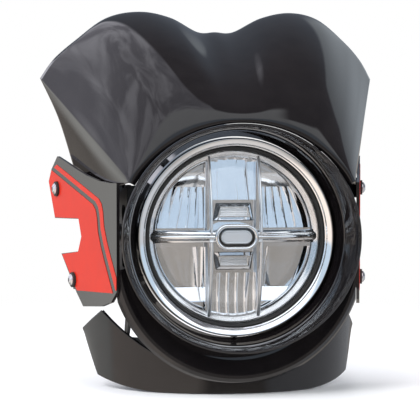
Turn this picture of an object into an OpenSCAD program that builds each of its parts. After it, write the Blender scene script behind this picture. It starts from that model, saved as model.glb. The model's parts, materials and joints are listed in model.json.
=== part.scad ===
// Headlight cowl for a naked motorcycle, with its round lamp fitted
// The lamp looks along -Y, +Z is up, and +X is the rider's left
// The origin is on the lamp axis, in line with the lower fixing holes of the two stays

/* [Upper cowl] */
// Half the width across the two wing corners
wing_half_w = 173; // [160:1:180]
// Height of the wing corners over the lamp axis
wing_z = 155; // [145:1:160]
// How far the wing corners lie behind the fixing holes
wing_back = 6; // [-5:1:15]
// Distance of each hump's crest from the middle
hump_x = 77; // [70:1:82]
// Height of the hump crests over the lamp axis
hump_z = 221; // [212:1:230]
// Height of the valley between the humps at the rear edge
valley_z = 201; // [190:1:205]
// Half the width of the flat floor of the valley
valley_half_w = 18; // [12:1:22]
// Wall of the moulded cowl
cowl_wall = 2.6; // [2:0.1:3]
// How far the nose bulges out over the straight line from collar to rear edge
nose_bulge = 62; // [50:1:70]

/* [Collar] */
// Half the width across the collar's front lip
lip_half_w = 114.5; // [112:0.5:116]
// Half the height of the collar's front lip
lip_half_h = 108.5; // [107:0.5:111]
// How far the lip stands in front of the lamp rim
lip_ahead = 36; // [30:1:40]
// Wall of the collar's tube
collar_wall = 3; // [2:0.1:3.5]

/* [Lower lip and chin] */
// How far the lower lip's centre lies under the lamp axis
lower_drop = 17; // [14:1:20]
// Radius of the lower lip's front edge
lower_r = 117; // [114:0.5:119]
// Half the width of the chin's plan curve
chin_half_w = 150; // [145:1:155]
// Depth of the chin's plan curve
chin_depth = 171; // [166:1:172]
// Height of the chin's side plates at their rear tips, under the lamp axis
chin_tip_z = 95; // [90:1:100]
// Wall of the chin moulding
chin_wall = 2.6; // [2:0.1:3]

/* [Side panels] */
// Thickness of each side panel
panel_t = 3; // [2:0.5:3.5]
// Angle between a side panel and the lamp axis
panel_angle = 13.5; // [12.5:0.5:14.5]
// Half the distance between the panels at their front end
panel_front_x = 113; // [112.5:0.5:115]
// Height of the slot that clears the indicator stem
stem_slot_h = 34; // [28:1:36]
// Thickness of the orange film on the panel
film_t = 0.4; // [0.3:0.1:0.6]
// Radius of the panel bolts' shanks
panel_bolt_r = 3; // [2.5:0.5:3.5]
// Radius of the rubber washers under the bolt heads
washer_r = 7.5; // [7:0.5:9]

/* [Stays] */
// Distance between the inner faces of the two stays
stay_gap = 200; // [200:1:206]
// Thickness of the stay plates
stay_t = 4; // [3:0.5:5]
// Radius of the fixing holes to the fork brackets
fork_hole_r = 4.25; // [4:0.25:5.25]
// Height between the lower and the upper fixing holes
fork_hole_rise = 58; // [50:1:66]
// Distance of the lamp's pivot bolts in front of the fixing holes
pivot_ahead = 105; // [100:1:110]
// Radius of the lamp's pivot bolts
pivot_r = 4.9; // [4:0.1:5]

/* [Lamp] */
// Radius of the chrome rim
rim_r = 95; // [94:0.5:96]
// Width of the chrome rim seen from the front
rim_w = 8; // [7:0.5:9]
// Distance of the rim's front in front of the fixing holes
lamp_reach = 170; // [165:1:175]
// Width of the black seal inside the rim
seal_w = 3.5; // [3:0.5:4]
// Width of the inner chrome ring
inner_ring_w = 4.5; // [4:0.5:5]
// How far the clear lens bulges over its edge
lens_dome = 20; // [14:1:22]
// Thickness of the clear lens
lens_t = 2.8; // [2:0.1:3.2]
// Radius of the lamp bucket's closed back
bucket_back_r = 62; // [56:1:66]
// Wall of the lamp bucket
bucket_wall = 2; // [1.5:0.1:2.5]
// Radius of the hole for the wiring
wire_r = 5; // [4:0.5:6]
// Number of cooling fins on the lamp's base
fin_count = 9; // [7:2:11]

/* [Hidden] */
$fn = 96;

// Clearance between pieces that seat on each other
seat = 0.3;
// Clearance of a bolt in its hole, on the radius
bolt_play = 0.3;
sides = [-1, 1];

// Places along the lamp axis, measured from the fixing holes
rim_y = -lamp_reach;
lip_y = rim_y - lip_ahead;
function behind_rim(q) = rim_y + q;

// Places in the stays
stay_in = stay_gap / 2;
stay_out = stay_in + stay_t;

// Turns a profile of [radius, y] points about the lamp axis
module turned(start = 0, sweep = 360) {
    rotate([-90, 0, 0]) rotate([0, 0, start]) rotate_extrude(angle = sweep) children();
}

module rod_x(r, x0, x1) {
    translate([x0, 0, 0]) rotate([0, 90, 0]) cylinder(r = r, h = x1 - x0);
}

module rod_y(r, y0, y1) {
    translate([0, y0, 0]) rotate([-90, 0, 0]) cylinder(r = r, h = y1 - y0);
}

// Pieces of the left side are drawn on +X, and those of the right side are their mirror images
module on_side(s) {
    if (s > 0) children();
    else mirror([1, 0, 0]) children();
}

// Shell built from a grid of outer points and the matching grid of inner points
function unit(v) = v / max(norm(v), 1e-6);
function clamp(i, n) = max(0, min(n, i));
function grid_normal(g, i, j) = let (
    a = g[clamp(i + 1, len(g) - 1)][j] - g[clamp(i - 1, len(g) - 1)][j],
    b = g[i][clamp(j + 1, len(g[0]) - 1)] - g[i][clamp(j - 1, len(g[0]) - 1)]
) unit(cross(a, b));
function inset_grid(g, t) = [
    for (i = [0:len(g) - 1]) [for (j = [0:len(g[0]) - 1]) g[i][j] - t * grid_normal(g, i, j)]
];

module grid_shell(outer, inner) {
    rows = len(outer);
    cols = len(outer[0]);
    half = rows * cols;
    points = concat([for (r = outer) each r], [for (r = inner) each r]);
    function at(i, j) = i * cols + j;
    skin = [for (i = [0:rows - 2], j = [0:cols - 2]) each [
        [at(i, j), at(i + 1, j), at(i + 1, j + 1)], [at(i, j), at(i + 1, j + 1), at(i, j + 1)],
        [half + at(i, j), half + at(i + 1, j + 1), half + at(i + 1, j)],
        [half + at(i, j), half + at(i, j + 1), half + at(i + 1, j + 1)],
    ]];
    rim_rows = [for (i = [0:rows - 2]) each [
        [at(i, 0), half + at(i, 0), half + at(i + 1, 0)], [at(i, 0), half + at(i + 1, 0), at(i + 1, 0)],
        [at(i, cols - 1), half + at(i + 1, cols - 1), half + at(i, cols - 1)],
        [at(i, cols - 1), at(i + 1, cols - 1), half + at(i + 1, cols - 1)],
    ]];
    rim_cols = [for (j = [0:cols - 2]) each [
        [at(0, j), half + at(0, j + 1), half + at(0, j)], [at(0, j), at(0, j + 1), half + at(0, j + 1)],
        [at(rows - 1, j), half + at(rows - 1, j), half + at(rows - 1, j + 1)],
        [at(rows - 1, j), half + at(rows - 1, j + 1), at(rows - 1, j + 1)],
    ]];
    polyhedron(points, concat(skin, rim_rows, rim_cols));
}

// Smooth curve through a list of points, t from 0 to 1
function through(p, t) = let (
    n = len(p) - 1,
    k = min(floor(t * n), n - 1),
    f = t * n - k,
    a = p[clamp(k - 1, n)], b = p[k], c = p[k + 1], d = p[clamp(k + 2, n)]
) 0.5 * (2 * b + (c - a) * f + (2 * a - 5 * b + 4 * c - d) * f * f + (3 * b - 3 * c + d - a) * f * f * f);

// Upper cowl: a sheet from the collar's top back to the rear edge, with a flank and a turned-in
// skirt on each side. Across, u runs from the skirt's lower end (0) to the middle (1).
seam_gap = cowl_wall + seat;
// Rear edge of the half cowl, from the skirt's lower end up over the wing corner and the hump
rear_edge = [
    [wing_half_w - 30, wing_back - 46, wing_z - 91],
    [wing_half_w - 15.5, wing_back - 36, wing_z - 41],
    [wing_half_w, wing_back, wing_z],
    [wing_half_w - 13, wing_back - 9, wing_z + 19],
    [wing_half_w - 34, wing_back - 24, wing_z + 38],
    [hump_x + 32, wing_back - 34, hump_z - 6],
    [hump_x, wing_back - 48, hump_z],
    [hump_x - 31, wing_back - 52, hump_z - 6],
    [valley_half_w, wing_back - 49, valley_z],
    [0, wing_back - 48, valley_z],
];
// Angles up the collar where the same lines of the cowl start
seam_angles = [29, 29.5, 30, 37, 47, 58, 68, 77, 84, 90];
// How strongly each line bulges on its way back
bulge_share = [0, 0, 0, 0.22, 0.55, 0.9, 0.9, 0.78, 0.62, 0.55];
// The seam leans back and stands off towards the lower end of the flank
seam_lean = 4;
seam_flare = 9;
// The skirt's lower end sags below a straight line
skirt_sag = 45;
function seam_point(a) = let (
    rx = lip_half_w + seam_gap + seam_flare * cos(a) * cos(a),
    rz = lip_half_h + seam_gap
) [rx * cos(a), lip_y + seam_lean * cos(a) * cos(a), rz * sin(a)];
function cowl_line(k, v) = let (
    a = seam_angles[k],
    rise = nose_bulge * bulge_share[k] * pow(v, 0.45) * pow(1 - v, 0.85),
    out = [cos(a), 0, sin(a)],
    sag = k < 2 ? skirt_sag * (1 - 0.45 * k) * v * pow(1 - v, 1.5) : 0
) (1 - v) * seam_point(a) + v * rear_edge[k] + rise * out - [0, 0, sag];
cowl_rows = 18;
cowl_steps = 3;
function cowl_section(v) = let (
    keys = [for (k = [0:len(rear_edge) - 1]) cowl_line(k, v)],
    skirt = [for (k = [0:1]) keys[k]],
    mirrored = concat([for (k = [2:len(keys) - 1]) keys[k]],
        [for (k = [len(keys) - 2:-1:2]) flip(keys[k])]),
    n = (len(mirrored) - 1) * cowl_steps,
    top = [for (i = [0:n]) through(mirrored, i / n)]
) concat(skirt, top, [for (k = [1:-1:0]) flip(keys[k])]);
function flip(p) = [-p[0], p[1], p[2]];
// The cowl's front edge is turned in to the collar's lip
turn_in_back = 1;
function to_lip(p) = let (a = atan2(p[2] * lip_half_w, p[0] * lip_half_h))
    [(lip_half_w + seat) * cos(a), p[1] + turn_in_back, (lip_half_h + seat) * sin(a)];

// Stiffening ribs inside the cowl: the line that each follows, and its share of the way back
cowl_ribs = [[3, 0.3, 0.92], [5, 0.3, 0.86], [7, 0.3, 0.86]];
cowl_rib_h = 6;
cowl_rib_t = 2;
cowl_rib_steps = 12;
module cowl_rib(k, v0, v1) {
    rows = [for (i = [0:cowl_rib_steps]) let (
        f = i / cowl_rib_steps,
        v = mix(v0, v1, f),
        across = unit(cowl_line(k + 1, v) - cowl_line(k - 1, v)),
        inward = unit(cross(across, cowl_line(k, v + 0.01) - cowl_line(k, v - 0.01))),
        low = cowl_line(k, v) + (cowl_wall - 0.8) * inward,
        high = low + (0.8 + cowl_rib_h * pow(sin(180 * mix(0.04, 0.96, f)), 0.4)) * inward
    ) [low, high, across * cowl_rib_t / 2]];
    grid_shell([for (r = rows) [r[0] - r[2], r[1] - r[2]]], [for (r = rows) [r[0] + r[2], r[1] + r[2]]]);
}

module upper_cowl() {
    sections = [for (i = [cowl_rows:-1:0]) cowl_section(pow(i / cowl_rows, 1.5))];
    outer = concat(sections, [[for (p = cowl_section(0)) to_lip(p)]]);
    color([0.05, 0.05, 0.055]) union() {
        grid_shell(outer, inset_grid(outer, -cowl_wall));
        for (s = sides, r = cowl_ribs) on_side(s) cowl_rib(r[0], r[1], r[2]);
    }
}

// Collar: a funnel round the lamp whose oval lip turns into a round tube
tube_r = rim_r + 13;
tube_in = tube_r - collar_wall - 4;
collar_back = behind_rim(10);
collar_steps = 96;
function oval(a, grow) = [(lip_half_w + grow) * cos(a), (lip_half_h + grow) * sin(a)];
function round_at(a, r) = [r * cos(a), r * sin(a)];
function mix(p, q, f) = p * (1 - f) + q * f;
// Each ring of the collar: share of roundness, radius when round, growth of the oval, y
collar_rings = [
    [1, rim_r + 1.2, 0, collar_back],
    [1, rim_r + 1.2, 0, collar_back - 3],
    [1, tube_in, 0, behind_rim(-2)],
    [0.75, tube_in, -5, behind_rim(-14)],
    [0.3, tube_in, -3.5, lip_y + 8],
    [0, 0, -3, lip_y + 2],
    [0, 0, -1.8, lip_y],
    [0, 0, -0.6, lip_y + 0.4],
    [0, 0, 0, lip_y + 2.2],
    [0, 0, -0.6, lip_y + 7],
    [0.6, tube_r, -1, lip_y + 14],
    [1, tube_r, 0, lip_y + 20],
    [1, tube_r, 0, collar_back],
];
module lamp_collar() {
    rings = len(collar_rings);
    points = [for (r = collar_rings, i = [0:collar_steps - 1]) let (
        a = 360 * i / collar_steps,
        p = mix(oval(a, r[2]), round_at(a, r[1]), r[0])
    ) [p[0], r[3], p[1]]];
    faces = [for (k = [0:rings - 1], i = [0:collar_steps - 1]) let (
        j = (i + 1) % collar_steps,
        m = (k + 1) % rings,
        a = k * collar_steps + i, b = k * collar_steps + j,
        c = m * collar_steps + j, d = m * collar_steps + i
    ) each [[a, b, c], [a, c, d]]];
    color([0.04, 0.04, 0.045]) difference() {
        polyhedron(points, faces);
        for (s = sides, z = [-tab_z, tab_z]) translate([s * tab_x, 0, z])
            rod_y(collar_screw_r + 0.1, collar_back - collar_screw_len - 1, collar_back + 1);
    }
}

// Lower lip: a second lip, off centre under the collar, that forms the scoop below the lamp
lower_y = lip_y + 20;
lower_start = 6;
module lower_lip() {
    front = [[-29, 11], [-17, 9], [-8, 4], [-3, 0], [0, 0.5], [3.5, 4], [6, 9], [3, 15], [1.8, 18],
        [0, 40]];
    back = [[-2.6, 40], [-0.9, 18], [0.4, 14.6], [3, 9.4], [0.9, 5.8], [-1.6, 3.8], [-3, 3.4], [-7, 7.2],
        [-16, 12.2], [-29, 14.2]];
    color([0.04, 0.04, 0.045]) difference() {
        translate([0, 0, -lower_drop]) turned(lower_start, 180 - 2 * lower_start)
            polygon([for (p = concat(front, back)) [lower_r + p[0], lower_y + p[1]]]);
        rod_y(tube_r + seat, lip_y, 0);
        for (s = sides) on_side(s) on_panel() translate([-60, -150, -panel_t - seat]) cube([260, 200, 60]);
    }
}

// Chin: a plate bent round the bottom of the lamp, wide at its two side tips
chin_inner_tip = [54.4, 74];
chin_low = 150;
chin_mid = 138;
chin_tip_angle = 67;
chin_flange = 7;
chin_draft = 1.5;
chin_corner = 57.5;
chin_half = [0, 7, 14, 21, 28, 35, 42, 48.5, chin_inner_tip[0], chin_corner, 62, chin_tip_angle - 0.6];
chin_angles = concat([for (k = [len(chin_half) - 1:-1:1]) -chin_half[k]], chin_half);
function chin_top(a) = let (f = abs(a), k = chin_inner_tip[0]) f <= k
    ? -chin_mid + (chin_mid - chin_inner_tip[1]) * pow(f / k, 1.6)
    : -chin_inner_tip[1] - (chin_tip_z - chin_inner_tip[1]) * (f - k) / (chin_tip_angle - k);
function chin_bottom(a) = let (f = abs(a), k = chin_corner) f <= 28 ? -chin_low
    : f <= k ? -chin_low + 12 * pow((f - 28) / (k - 28), 1.8)
    : -(chin_low - 12) + (chin_low - 12 - chin_tip_z) * (f - k) / (chin_tip_angle - k);
function chin_at(a, z, inset) = [(chin_half_w - inset) * sin(a), -(chin_depth - inset) * cos(a), z];
module chin_cowl() {
    outer = [for (a = chin_angles) let (hi = chin_top(a), lo = chin_bottom(a)) concat(
        [for (f = [0:0.25:1]) chin_at(a, mix(hi, lo, f), chin_draft * pow(f, 2))],
        [chin_at(a, lo + 0.5, chin_flange)])];
    inner = [for (a = chin_angles) let (
        hi = chin_top(a), lo = chin_bottom(a), up = min(chin_wall, 0.4 * (hi - lo))
    ) concat([for (f = [0:0.25:1]) chin_at(a, mix(hi, lo + up, f), chin_wall + chin_draft * pow(f, 2))],
        [chin_at(a, lo + 0.5 + up, chin_flange)])];
    color([0.05, 0.05, 0.055]) grid_shell(outer, inner);
}

// Side panels: flat plates that spread towards the rear, drawn as [distance back, height]
panel_front_y = lip_y + 6;
module on_panel() {
    translate([panel_front_x, panel_front_y, 0]) rotate([0, 0, 90 - panel_angle]) rotate([90, 0, 0])
        children();
}
function panel_point(back, out) = [
    panel_front_x + back * sin(panel_angle) + out * cos(panel_angle),
    panel_front_y + back * cos(panel_angle) - out * sin(panel_angle),
];
upper_bolt = [190, 42.5];
lower_bolt = [139.5, -46.5];
panel_bolts = [upper_bolt, lower_bolt];
slot_top = 14.5;
slot_low = slot_top - stem_slot_h;
slot_front = 121;
// The panel's top edge sags like the cowl's skirt, whose lower end is hidden behind it
panel_top_end = [wing_half_w - 15, wing_back - 17, wing_z - 79];
panel_top = [for (v = [0.1, 0.22, 0.36, 0.52, 0.7, 0.85, 0.98]) let (
    p = mix(seam_point(seam_angles[0]), panel_top_end, v) - [0, 0, skirt_sag * v * pow(1 - v, 1.5)]
) [(p[1] - panel_front_y) / cos(panel_angle), p[2]]];
panel_rest = [
    [202, 67], [209, 62], [218, 49.5], [198, slot_top - 2],
    [slot_front + 4, slot_top], [slot_front - 4, (slot_top + slot_low) / 2], [slot_front + 4, slot_low + 2],
    [178, slot_low - 3], [132, -58.5], [112, -71], [60, -67], [32, -61], [panel_top[0][0], -50],
];
panel_outline = concat(panel_top, panel_rest);
module side_panel(s) {
    color([0.05, 0.05, 0.055]) on_side(s) on_panel() difference() {
        translate([0, 0, -panel_t]) linear_extrude(panel_t) polygon(panel_outline);
        for (b = panel_bolts) translate([b[0], b[1], -panel_t - 1])
            cylinder(r = panel_bolt_r + bolt_play, h = panel_t + 2);
    }
}
module left_side_panel() side_panel(1);
module right_side_panel() side_panel(-1);

// Orange film on each panel: a field, and a stripe set off by a bare line
field_edge = [[208, 61], [83, 30.4], [75, 25.5], [71, 18], [68, 4], [60, -10], [51, -22], [27, -52]];
field_rest = [[130, -56.5], [175, slot_low - 3.5], [slot_front + 5, slot_low + 1.5],
    [slot_front - 5, (slot_top + slot_low) / 2], [slot_front + 3.5, slot_top + 0.6], [197, slot_top - 1.2],
    [216.5, 49]];
line_shift = [-8, 3];
stripe_shift = [-17, 6];
stripe_foot = -51;
module stripe_film(s) {
    near = [for (p = field_edge) p + line_shift];
    far = [for (k = [len(field_edge) - 1:-1:0]) field_edge[k] + stripe_shift];
    color([0.95, 0.27, 0.12]) on_side(s) on_panel() difference() {
        linear_extrude(film_t) {
            polygon(concat(field_edge, field_rest));
            intersection() {
                polygon(concat(near, far));
                polygon(concat([[panel_top[0][0] + 0.5, stripe_foot]], [for (p = panel_top) p - [0, 0.5]],
                    [[201, 66], [208, 61], [208, stripe_foot]]));
            }
        }
        for (b = panel_bolts) translate([b[0], b[1], -1]) cylinder(r = washer_r + 0.2, h = film_t + 2);
    }
}
module left_stripe_film() stripe_film(1);
module right_stripe_film() stripe_film(-1);

// Panel bolts: button heads on rubber washers, through the panel into the bracket
washer_t = 2.5;
bracket_t = 3;
button_r = 5.6;
button_h = 3.4;
socket_r = 2.3;
nut_h = 5;
module panel_bolt(s, b) {
    color([0.75, 0.76, 0.78]) on_side(s) on_panel() translate([b[0], b[1], 0]) {
        translate([0, 0, washer_t]) difference() {
            intersection() {
                translate([0, 0, button_h - 1.35 * button_r]) sphere(r = 1.35 * button_r);
                cylinder(r = button_r, h = button_h);
            }
            translate([0, 0, button_h - 1.8]) cylinder(r = socket_r, h = 3, $fn = 6);
        }
        translate([0, 0, -panel_t - bracket_t - nut_h - 1])
            cylinder(r = panel_bolt_r, h = panel_t + bracket_t + nut_h + 1 + washer_t);
    }
}
module left_upper_panel_bolt() panel_bolt(1, upper_bolt);
module left_lower_panel_bolt() panel_bolt(1, lower_bolt);
module right_upper_panel_bolt() panel_bolt(-1, upper_bolt);
module right_lower_panel_bolt() panel_bolt(-1, lower_bolt);

module washer(s, b) {
    color([0.03, 0.03, 0.03]) on_side(s) on_panel() translate([b[0], b[1], 0]) difference() {
        cylinder(r = washer_r, h = washer_t);
        translate([0, 0, -1]) cylinder(r = panel_bolt_r + bolt_play, h = washer_t + 2);
    }
}
module left_upper_washer() washer(1, upper_bolt);
module left_lower_washer() washer(1, lower_bolt);
module right_upper_washer() washer(-1, upper_bolt);
module right_lower_washer() washer(-1, lower_bolt);

// Panel brackets: a folded arm to each bolt, joined by the flange that is screwed to the stay
arm_h = 20;
bracket_front = -70;
bracket_bend = -44;
bracket_screw_y = -56;
bracket_screw_z = [-24, 24];
screw_r = 3;
function right_of(a, b) = let (d = unit(b - a)) [d[1], -d[0]];
function strip(path, t) = let (n = len(path) - 1) concat(path, [for (k = [n:-1:0]) let (
    p = right_of(path[max(k - 1, 0)], path[max(k - 1, 0) + 1]),
    q = right_of(path[min(k, n - 1)], path[min(k, n - 1) + 1])
) path[k] + (p + q) * t / (1 + p * q)]);
module panel_arm(b) {
    path = [[stay_out, bracket_front], [stay_out, bracket_bend],
        panel_point(b[0] - 13, -panel_t - bracket_t), panel_point(b[0] + 11, -panel_t - bracket_t)];
    translate([0, 0, b[1] - arm_h / 2]) linear_extrude(arm_h) polygon(strip(path, bracket_t));
}
module panel_bracket(s) {
    bottom = lower_bolt[1] - arm_h / 2;
    top = upper_bolt[1] + arm_h / 2;
    color([0.16, 0.16, 0.17]) on_side(s) difference() {
        union() {
            for (b = panel_bolts) panel_arm(b);
            translate([stay_out, bracket_front, bottom])
                cube([bracket_t, bracket_bend - bracket_front, top - bottom]);
            for (b = panel_bolts) on_panel() translate([b[0], b[1], -panel_t - bracket_t - nut_h])
                cylinder(r = 6, h = nut_h + 0.5, $fn = 6);
        }
        for (b = panel_bolts) on_panel() translate([b[0], b[1], -panel_t - 20])
            cylinder(r = panel_bolt_r + bolt_play, h = 20 + 1);
        for (z = bracket_screw_z) translate([0, bracket_screw_y, z])
            rod_x(screw_r + bolt_play, stay_out - 1, stay_out + bracket_t + 1);
    }
}
module left_panel_bracket() panel_bracket(1);
module right_panel_bracket() panel_bracket(-1);

// Socket screws that hold the panel brackets, the bridge and the chin brackets to the stays
screw_head_h = 3.5;
screw_tip = 1.5;
screw_head_r = 5.5;
screw_socket_r = 2.9;
module socket_screw(seat_x, end_x) {
    difference() {
        rod_x(screw_head_r, seat_x, seat_x + screw_head_h);
        translate([seat_x + screw_head_h / 2, 0, 0]) rotate([0, 90, 0])
            cylinder(r = screw_socket_r, h = screw_head_h, $fn = 6);
    }
    rod_x(screw_r, end_x, seat_x);
}

module bracket_screws() {
    color([0.6, 0.6, 0.62]) for (s = sides) on_side(s) {
        for (z = bracket_screw_z) translate([0, bracket_screw_y, z])
            socket_screw(stay_out + bracket_t, stay_in - screw_tip);
        translate([0, chin_screw[0], chin_screw[1]])
            socket_screw(stay_out, stay_in - chin_bracket_t - screw_tip);
        translate([0, bridge_screw[0], bridge_screw[1]])
            socket_screw(stay_out, stay_in - bridge_t - screw_tip);
    }
}

// Stays: the two plates that bolt to the fork brackets and carry the lamp, the collar and the panels
stay_front = collar_back;
pivot_y = -pivot_ahead;
tab_t = 3;
tab_x = 95.5;
tab_z = 42.4;
tab_w = 14;
collar_screw_r = 2;
stay_outline = [
    [stay_front, -50], [stay_front, 50], [stay_front + 12, 50], [-110, 42], [-86, 46],
    [-40, fork_hole_rise + 8], [-16, fork_hole_rise + 15], [8, fork_hole_rise + 15],
    [15, fork_hole_rise + 6], [15, -8], [8, -15], [-30, -20], [-80, -40], [-110, -42],
    [stay_front + 24, -62], [stay_front + 8, -62],
];
chin_screw = [stay_front + 16, -51];
bridge_screw = [-77, 38];
module slot_2d(y, z, r, length) {
    translate([y, z]) circle(r = r);
    translate([y + length, z]) circle(r = r);
    translate([y, z - r]) square([length, 2 * r]);
}
module lamp_stay(s) {
    color([0.13, 0.13, 0.14]) on_side(s) difference() {
        union() {
            translate([stay_in, 0, 0]) rotate([90, 0, 90]) linear_extrude(stay_t) difference() {
                polygon(stay_outline);
                slot_2d(stay_front + 20, 22, 8, 14);
                slot_2d(stay_front + 20, -22, 8, 14);
                slot_2d(-40, 4, 8, 16);
            }
            for (z = [-tab_z, tab_z]) translate([tab_x - tab_w / 2, stay_front, z - tab_w / 2])
                cube([stay_out - tab_x + tab_w / 2, tab_t, tab_w]);
        }
        for (z = [-tab_z, tab_z]) translate([tab_x, 0, z])
            rod_y(collar_screw_r + bolt_play, stay_front - 1, stay_front + tab_t + 1);
        for (z = [0, fork_hole_rise]) translate([0, 0, z]) rod_x(fork_hole_r, stay_in - 1, stay_out + 1);
        translate([0, pivot_y, 0]) rod_x(pivot_r + bolt_play, stay_in - 1, stay_out + 1);
        for (z = bracket_screw_z) translate([0, bracket_screw_y, z])
            rod_x(screw_r + bolt_play / 3, stay_in - 1, stay_out + 1);
        for (p = [chin_screw, bridge_screw]) translate([0, p[0], p[1]])
            rod_x(screw_r + bolt_play, stay_in - 1, stay_out + 1);
    }
}
module left_lamp_stay() lamp_stay(1);
module right_lamp_stay() lamp_stay(-1);

// Pivot bolts and washers: they clamp the lamp between the stays and let its aim be set
pivot_washer_t = 2;
pivot_head_r = 8.5;
boss_len = 14;
module pivot_bolt(s) {
    out = stay_out + pivot_washer_t;
    color([0.7, 0.71, 0.73]) on_side(s) translate([0, pivot_y, 0]) {
        difference() {
            rod_x(pivot_head_r, out, out + 6);
            translate([out + 2.5, 0, 0]) rotate([0, 90, 0]) cylinder(r = 4.6, h = 5, $fn = 6);
        }
        rod_x(pivot_r, stay_in - boss_len + 2, out);
    }
}
module left_pivot_bolt() pivot_bolt(1);
module right_pivot_bolt() pivot_bolt(-1);
module pivot_washer(s) {
    color([0.7, 0.71, 0.73]) on_side(s) translate([0, pivot_y, 0]) difference() {
        rod_x(pivot_head_r + 2.5, stay_out, stay_out + pivot_washer_t);
        rod_x(pivot_r + bolt_play, stay_out - 1, stay_out + pivot_washer_t + 1);
    }
}
module left_pivot_washer() pivot_washer(1);
module right_pivot_washer() pivot_washer(-1);

// Bridge: a bent strap over the lamp, from stay to stay, that carries the cowl on rubber pads
bridge_t = 3;
bridge_w = 22;
pad_h = 12;
middle_line = len(rear_edge) - 1;
pad_v = (bridge_screw[0] - seam_point(90)[1]) / (rear_edge[middle_line][1] - seam_point(90)[1]);
pad_spot = cowl_line(middle_line, pad_v);
bridge_top = pad_spot[2] - cowl_wall - 2 * seat - pad_h - bridge_t;
bridge_bend_x = 52;
bridge_shoulder_z = bridge_top - 40;
module cowl_bridge() {
    low = bridge_screw[1] - 12;
    path = [[stay_in, low], [stay_in, bridge_shoulder_z], [bridge_bend_x, bridge_top]];
    whole = concat([for (p = path) [-p[0], p[1]]], [for (k = [2:-1:0]) path[k]]);
    color([0.13, 0.13, 0.14]) difference() {
        translate([0, bridge_screw[0] + bridge_w / 2, 0]) rotate([90, 0, 0]) linear_extrude(bridge_w)
            polygon(strip(whole, bridge_t));
        for (s = sides) on_side(s) translate([0, bridge_screw[0], bridge_screw[1]])
            rod_x(screw_r + bolt_play, stay_in - bridge_t - 1, stay_in + 1);
    }
}

// Rubber pads on the bridge, tilted to the floor of the cowl's valley
pad_r = 6;
pad_x = 10;
module cowl_pads() {
    ahead = cowl_line(middle_line, pad_v + 0.02);
    tilt = atan2(ahead[2] - pad_spot[2], ahead[1] - pad_spot[1]);
    color([0.05, 0.05, 0.05]) difference() {
        for (s = sides) translate([s * pad_x, pad_spot[1], pad_spot[2]]) rotate([tilt, 0, 0])
            translate([0, 0, -cowl_wall - 2 * seat - 40]) cylinder(r = pad_r, h = 40);
        translate([-50, pad_spot[1] - 50, 0]) cube([100, 100, bridge_top + bridge_t]);
    }
}

// Collar screws: driven from behind, through the stays' tabs into the collar's tube
collar_screw_len = 9;
module collar_screws() {
    color([0.6, 0.6, 0.62]) for (s = sides, z = [-tab_z, tab_z]) translate([s * tab_x, 0, z]) {
        rod_y(collar_screw_r, stay_front - collar_screw_len, stay_front + tab_t);
        rod_y(3.6, stay_front + tab_t, stay_front + tab_t + 2.6);
    }
}

// Chin brackets: cranked plates inside the stays that reach down to the chin
chin_bracket_t = 3;
chin_foot_turn = 8;
chin_foot_z = [-133, -99];
function chin_inside(a) = let (p = chin_at(a, 0, chin_draft + chin_wall + 2 * seat)) [p[0], p[1]];
module chin_brackets() {
    inner_half_w = chin_half_w - chin_draft - chin_wall - 2 * seat;
    plate = stay_in - chin_bracket_t;
    toe = chin_inside(asin(plate / inner_half_w));
    tip = chin_inside(asin(plate / inner_half_w) - chin_foot_turn);
    front = chin_inside(asin(stay_in / inner_half_w))[1];
    outline = [[chin_screw[0] - 8, chin_screw[1] + 9], [chin_screw[0] + 10, chin_screw[1] + 9],
        [front + 16, -92], [front + 16, chin_foot_z[0]], [front, chin_foot_z[0]], [front, chin_foot_z[1]],
        [chin_screw[0] - 8, chin_screw[1] - 15]];
    foot = strip([tip, toe], -chin_bracket_t);
    color([0.13, 0.13, 0.14]) for (s = sides) on_side(s) difference() {
        union() {
            translate([plate, 0, 0]) rotate([90, 0, 90]) linear_extrude(chin_bracket_t) polygon(outline);
            translate([0, 0, chin_foot_z[0]]) linear_extrude(chin_foot_z[1] - chin_foot_z[0])
                polygon([tip, toe, [stay_in, front], [stay_in, front + 2 * chin_bracket_t],
                    foot[2] + [0, chin_bracket_t], foot[3]]);
        }
        translate([0, chin_screw[0], chin_screw[1]]) rod_x(screw_r + bolt_play, plate - 1, stay_in + 1);
    }
}

// Lamp: places of its parts behind the rim's front
rim_wall = 1.5;
rim_in = rim_r - rim_w;
seal_in = rim_in - seal_w;
ring_in = seal_in - inner_ring_w;
lens_q = 12;
base_q = lens_q + lens_t + 0.2;
base_flange_t = 3;
bucket_q = base_q + base_flange_t;
ring_depth = 5;
mirror_q = base_q + ring_depth;
board_q = mirror_q + 24;
board_t = 1.6;
base_floor = 4.4;
fin_h = 14;
bucket_depth = 100;
lens_r = rim_in - seat;

module lamp_rim() {
    path = [[rim_in, 16], [rim_in, 4.5], [rim_in + 0.8, 2], [rim_in + 2.2, 0.5], [rim_in + 4, 0],
        [rim_in + 5.8, 0.7], [rim_in + 7.2, 2.4], [rim_r, 5], [rim_r, bucket_q + 1]];
    wall = strip(path, -rim_wall);
    color([0.85, 0.86, 0.88]) difference() {
        turned() polygon([for (p = wall) [p[0], behind_rim(p[1])]]);
        translate([0, behind_rim(rim_screw_q), 0]) rotate([180, 0, 0]) cylinder(r = 2.3, h = rim_r + 5);
    }
}

rim_screw_q = 14.5;
module rim_screw() {
    color([0.7, 0.71, 0.73]) translate([0, behind_rim(rim_screw_q), 0]) {
        translate([0, 0, -rim_r - 2.3]) cylinder(r = 3.4, h = 2);
        translate([0, 0, -rim_r - 0.4]) cylinder(r = 2, h = 5);
    }
}

module rim_seal() {
    color([0.03, 0.03, 0.03]) turned() polygon([for (p = [[seal_in, 11.9], [seal_in, 7], [seal_in + 0.8, 6],
        [lens_r - 0.8, 5], [lens_r, 6], [lens_r, 11.9]]) [p[0], behind_rim(p[1])]]);
}

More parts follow.
